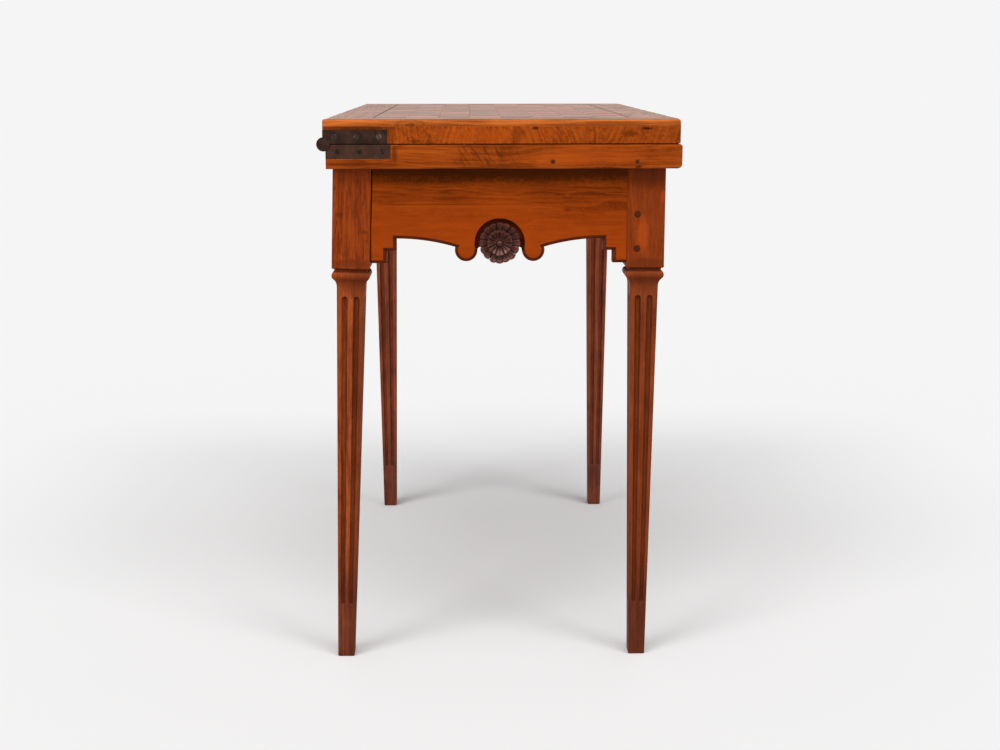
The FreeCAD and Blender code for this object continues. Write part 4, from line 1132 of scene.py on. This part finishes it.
class GAMESTABLE_OT_screws(bpy.types.Operator):
    """Slotted wood screws of the straps, the glue blocks and the back rail"""

    bl_idname = "gamestable.screws"
    bl_label = "Wood screws"

    def execute(self, context):
        slot = context.scene.table_shapes.screw_slot
        for node, axis, finish in (
            ("flap_strap_screws", 1, "screw"), ("leaf_strap_screws", 1, "dull_screw"),
            ("block_screws", 2, "screw"), ("rail_screws", 0, "screw"),
        ):
            bm = bmesh.new()
            aims = bm.verts.layers.float_vector.new("aim")
            solids = boxes_of(node)
            for low, high in solids:
                spot, aim = (low + high) / 2, Vector()
                # Strap screws go in from both ends, block screws from below, rail screws from the front.
                rising = spot.y < 0 if axis == 1 else axis == 2
                spot[axis], aim[axis] = (low[axis], 1) if rising else (high[axis], -1)
                bm.verts.new(spot)[aims] = aim
            long = solids[0][1][axis] - solids[0][0][axis]
            pattern = bpy.data.objects.new("screw_pattern", mesh_of(self.screw(long, slot), "screw"))
            made = grown(fastener_set(), mesh_of(bm, "points"), {
                "Fastener": pattern, "Seed": 3.0, "Finish": finish_of(finish),
            })
            bpy.data.objects.remove(pattern)
            put(made, node, "_slotted", [finish])
        return {"FINISHED"}

    def screw(self, long, slot):
        """Countersunk screw along +Z, its slotted head face at the origin."""
        head, shank, sunk, edge, point = 0.00365, 0.00185, 0.0024, 0.00025, 0.012
        half, deep, lip = slot / 2, 0.0011, 0.0001
        bm = lathe([
            (0, 0.0), (head * 0.94, 0.0), (head, edge), (shank, sunk),
            (shank, long - point), (shank * 0.8, long - point / 2), (0, long),
        ], 40)
        flat = [f for f in bm.faces if all(abs(v.co.z) < 1e-7 for v in f.verts)]
        bmesh.ops.delete(bm, geom=flat, context="FACES")
        rim = [v for v in bm.verts if abs(v.co.z) < 1e-7]
        # Two half moons on the head, and a sunk channel between them.
        arcs = {
            side: sorted((v for v in rim if v.co.y * side > half), key=lambda v: v.co.x) for side in (1, -1)
        }
        ends = [v for v in rim if abs(v.co.y) <= half]
        lips, floor = {}, {}
        for side, arc in arcs.items():
            lips[side] = [
                bm.verts.new((x, side * half, 0)) for x in (arc[0].co.x - lip, arc[-1].co.x + lip)
            ]
            bm.faces.new([lips[side][0]] + arc + [lips[side][1]])
            floor[side] = [bm.verts.new((v.co.x, v.co.y, deep)) for v in lips[side]]
            bm.faces.new([lips[side][0], lips[side][1], floor[side][1], floor[side][0]])
        bm.faces.new([floor[1][0], floor[1][1], floor[-1][1], floor[-1][0]])
        for k, sign in ((0, -1), (1, 1)):
            arc = sorted((v for v in ends if v.co.x * sign > 0), key=lambda v: v.co.y)
            low_arc, high_arc = (max(arcs[side], key=lambda v: v.co.x * sign) for side in (-1, 1))
            bm.faces.new(
                [lips[-1][k], low_arc] + arc + [high_arc, lips[1][k], floor[1][k], floor[-1][k]]
            )
        bmesh.ops.recalc_face_normals(bm, faces=bm.faces)
        return bm


class GAMESTABLE_OT_pegs(bpy.types.Operator):
    """Hand-cut draw pegs in the legs and small pegs in the clamps"""

    bl_idname = "gamestable.pegs"
    bl_label = "Pegs"

    def execute(self, context):
        for node in ("apron_draw_pegs", "back_draw_pegs", "gate_draw_pegs", "clamp_pegs"):
            bm = lay_grain(copy_of(node), long_way, 29, (0.0, 0.002))
            put(bm, node, "_cut", ["peg"])
        return {"FINISHED"}


class GAMESTABLE_OT_aprons(bpy.types.Operator):
    """Shaped aprons with their dark chamfered edge and recess, partly stained and partly painted shade"""

    bl_idname = "gamestable.aprons"
    bl_label = "Aprons"

    def execute(self, context):
        for node, out, run, seed in (
            ("near_end_apron", Vector((0, -1, 0)), "x", 31),
            ("far_end_apron", Vector((0, 1, 0)), "x", 37),
            ("front_apron", Vector((1, 0, 0)), "y", 41),
        ):
            bm = lay_grain(copy_of(node), run, seed, (0.10, 0.16))
            if node == "near_end_apron":
                self.fit_to_swing_leg(bm)
            self.stain_edges(bm, node, out)
            put(bm, node, "_wood", ["apron", "edge_stain"])
        return {"FINISHED"}

    def stain_edges(self, bm, node, out):
        """Give the chamfer, the shaped lower edge and the rosette's recess the dark finish, which is partly
        stain and partly painted shade.
        """
        recess, ground, lower_edge, thick = 0.0345, 0.0095, 0.596, 0.03
        low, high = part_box(node.replace("apron", "rosette"))
        centre = (low + high) / 2
        outer = max(corner.dot(out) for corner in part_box(node))
        for face in bm.faces:
            slope = face.normal.dot(out)
            middle = face.calc_center_median()
            depth = outer - middle.dot(out)
            off = middle - centre
            off -= out * off.dot(out)
            sunk = off.length < recess and 0.0002 < depth < ground and slope > -0.5
            chamfer = 0.2 < slope < 0.9
            below = face.normal.z < 0.3 and middle.z < lower_edge
            edge = abs(slope) < 0.2 and below and depth < thick
            if sunk or chamfer or edge:
                face.material_index = 1

    def fit_to_swing_leg(self, bm):
        """Bring the lower part of the apron's end close to the swing leg, which leans away from it."""
        end, top, bottom, lean = -0.166, 0.6332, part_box("near_end_apron")[0].z, 0.0036
        for vert in bm.verts:
            if abs(vert.co.x - end) < 0.0002 and vert.co.z < top:
                vert.co.x -= lean * (top - vert.co.z) / (top - bottom)


class GAMESTABLE_OT_rosettes(bpy.types.Operator):
    """Carved rosettes: two rings of petals round a button"""

    bl_idname = "gamestable.rosettes"
    bl_label = "Rosettes"

    def execute(self, context):
        parts = self.carve(context.scene.table_shapes.petals)
        for node, out, turn in (
            ("near_end_rosette", Vector((0, -1, 0)), 0),
            ("far_end_rosette", Vector((0, 1, 0)), math.pi),
            ("front_rosette", Vector((1, 0, 0)), math.pi / 2),
        ):
            bm = bmesh.new()
            for part in parts:
                bm.from_mesh(part)
            bmesh.ops.rotate(bm, verts=bm.verts, matrix=Matrix.Rotation(math.radians(90), 3, "X"))
            bmesh.ops.rotate(bm, verts=bm.verts, matrix=Matrix.Rotation(turn, 3, "Z"))
            low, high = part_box(node)
            seat = (low + high) / 2
            for k in range(3):
                if out[k]:
                    seat[k] = low[k] if out[k] > 0 else high[k]
            bmesh.ops.translate(bm, verts=bm.verts, vec=seat)
            lay_grain(bm, "z", 43, (0.02, 0.03))
            # Painted shade in the hollows of the carving.
            self.darken_hollows(bm, seat, out)
            put(bm, node, "_carved", ["carving"], smooth=50.0)
        return {"FINISHED"}

    def carve(self, petals):
        """Meshes of the outer and inner petals, the button and the seat, face up at the origin."""
        parts = []
        for r0, r1, base, rim, dip, turn in (
            (0.0120, 0.0265, 0.0018, 0.0060, 0.0020, 0.0),
            (0.0034, 0.0156, 0.0040, 0.0102, 0.0010, math.pi / petals),
        ):
            petal = mesh_of(self.petal(r0, r1, base, rim, dip, math.pi / petals), "petal")
            ring = grown(petal_ring(), petal, {
                "Count": petals, "Seed": r1 * 1000, "Finish": finish_of("carving"),
            })
            ring.transform(Matrix.Rotation(turn, 4, "Z"))
            parts.append(ring)
        parts.append(mesh_of(lathe([
            (0, 0), (0.0050, 0), (0.0050, 0.0046), (0.0042, 0.0062), (0.0042, 0.0084), (0.0036, 0.0100),
            (0.0024, 0.0110), (0.0012, 0.0114), (0, 0.0115),
        ], 32), "button"))
        seat = [(0, 0), (0.0135, 0), (0.0135, 0.0022), (0.0100, 0.0034), (0, 0.0038)]
        parts.append(mesh_of(lathe(seat, 48), "seat"))
        return parts

    def darken_hollows(self, bm, seat, out):
        """Painted shade: petals are pale at their tips and dark at their roots, in the hollows of the
        carving.
        """
        button, outer_ring, step = 0.0045, 0.0160, 0.0045
        tone = bm.verts.layers.float["tone"]
        for vert in bm.verts:
            off = vert.co - seat
            rise = off.dot(out)
            radius = (off - out * rise).length
            root, tip = (0.0145, 0.0245) if radius > outer_ring or rise < step else (button, 0.0140)
            vert[tone] = 1.0 if radius < button else min(1, max(0, (radius - root) / (tip - root)))

    def petal(self, r0, r1, base, rim, dip, half):
        """One hollowed petal along +X, closed below."""
        bm = bmesh.new()
        steps, sides, turned_down = 12, 12, 0.93
        round_tip, hollow, ridge, fall, drop = 0.10, 0.55, 0.0009, 0.0016, 0.0007
        top, foot = {}, {}
        for i in range(steps + 1):
            u = i / steps
            for j in range(sides + 1):
                v = 2 * j / sides - 1
                reach = r1 - (r1 - r0) * round_tip * v * v
                radius = r0 + (reach - r0) * u
                angle = v * half
                bowl = math.sin(math.pi * min(1.0, u * 0.86 + 0.02)) * (1 - v * v)
                z = base + (rim - base) * u ** 1.6 - dip * hollow * bowl
                z += ridge * (1 - u) * (1 - abs(v)) - fall * abs(v) ** 5
                if u > turned_down:
                    z -= drop * (u - turned_down) / (1 - turned_down)
                x, y = radius * math.cos(angle), radius * math.sin(angle)
                top[i, j] = bm.verts.new((x, y, z))
                foot[i, j] = bm.verts.new((x, y, 0))
        return close_grid(bm, top, foot, steps, sides)


class GAMESTABLE_OT_legs(bpy.types.Operator):
    """Four fluted tapered legs"""

    bl_idname = "gamestable.legs"
    bl_label = "Legs"

    def execute(self, context):
        for node, seed, finish, block, shaft in (
            ("near_front_leg", 47, "leg", 0.27, 0.0), ("far_front_leg", 53, "far_leg", 0.6, 0.75),
            ("far_back_leg", 59, "far_leg", 0.6, 0.75), ("swing_leg", 61, "leg", 1.0, 1.0),
        ):
            bm = lay_grain(copy_of(node), "z", seed, (0.05, 0.10), fine=1.7)
            tone = bm.verts.layers.float["tone"]
            for vert in bm.verts:
                vert[tone] = block if vert.co.z > COLLAR else shaft
            # Painted shade on the swing leg's shaft.
            if node == "swing_leg":
                self.darken_inner_side(bm, tone)
            put(bm, node, "_wood", [finish])
        return {"FINISHED"}

    def darken_inner_side(self, bm, tone):
        """Painted shade: the swing leg's shaft is darker from its middle to the side that is turned to the
        apron.
        """
        neck, lean, foot_half, taper = 0.016, 0.0185, 0.0125, 0.0060
        shaft = [vert for vert in bm.verts if vert.co.z < COLLAR - neck]
        sole = [vert.co.x for vert in shaft if vert.co.z < 0.001]
        foot = sum(sole) / len(sole)
        for vert in shaft:
            share = vert.co.z / COLLAR
            if (vert.co.x - foot - lean * share) / (foot_half + taper * share) > 0.10:
                vert[tone] = 0.0


class GAMESTABLE_OT_back_rails(bpy.types.Operator):
    """Inner and outer back rails, fly rail, its pin and the glue blocks"""

    bl_idname = "gamestable.back_rails"
    bl_label = "Back rails"

    def execute(self, context):
        for node, seed in (("inner_back_rail", 67), ("outer_back_rail", 71), ("fly_rail", 73)):
            wooden_copy(node, "y", "rail", seed)
        wooden_copy("glue_blocks", long_way, "rail", 79, (0.02, 0.05))
        put(copy_of("knuckle_pin"), "knuckle_pin", "_iron", ["iron"])
        return {"FINISHED"}


PIECES = (
    GAMESTABLE_OT_stage,
    GAMESTABLE_OT_leaves,
    GAMESTABLE_OT_parquetry,
    GAMESTABLE_OT_cloths,
    GAMESTABLE_OT_hinges,
    GAMESTABLE_OT_screws,
    GAMESTABLE_OT_pegs,
    GAMESTABLE_OT_aprons,
    GAMESTABLE_OT_rosettes,
    GAMESTABLE_OT_legs,
    GAMESTABLE_OT_back_rails,
)


class GAMESTABLE_PT_panel(bpy.types.Panel):
    """Lists the table's pieces and the values that shape them"""

    bl_idname = "GAMESTABLE_PT_panel"
    bl_label = "Games Table"
    bl_space_type = "VIEW_3D"
    bl_region_type = "UI"
    bl_category = "Games Table"

    def draw(self, context):
        scene = context.scene
        for values in (scene.table_finishes, scene.table_shapes, scene.table_studio):
            box = self.layout.box()
            for name in values.__annotations__:
                box.prop(values, name)
        for piece in PIECES:
            self.layout.operator(piece.bl_idname)


CLASSES = (TableFinishes, TableShapes, TableStudio) + PIECES + (GAMESTABLE_PT_panel,)


def register():
    for cls in CLASSES:
        bpy.utils.register_class(cls)
    bpy.types.Scene.table_finishes = bpy.props.PointerProperty(type=TableFinishes)
    bpy.types.Scene.table_shapes = bpy.props.PointerProperty(type=TableShapes)
    bpy.types.Scene.table_studio = bpy.props.PointerProperty(type=TableStudio)


def unregister():
    del bpy.types.Scene.table_studio
    del bpy.types.Scene.table_shapes
    del bpy.types.Scene.table_finishes
    for cls in reversed(CLASSES):
        bpy.utils.unregister_class(cls)


def main():
    register()
    bpy.ops.gamestable.stage()
    bpy.ops.gamestable.leaves()
    bpy.ops.gamestable.parquetry()
    bpy.ops.gamestable.cloths()
    bpy.ops.gamestable.hinges()
    bpy.ops.gamestable.screws()
    bpy.ops.gamestable.pegs()
    bpy.ops.gamestable.aprons()
    bpy.ops.gamestable.rosettes()
    bpy.ops.gamestable.legs()
    bpy.ops.gamestable.back_rails()


if __name__ == "__main__":
    main()
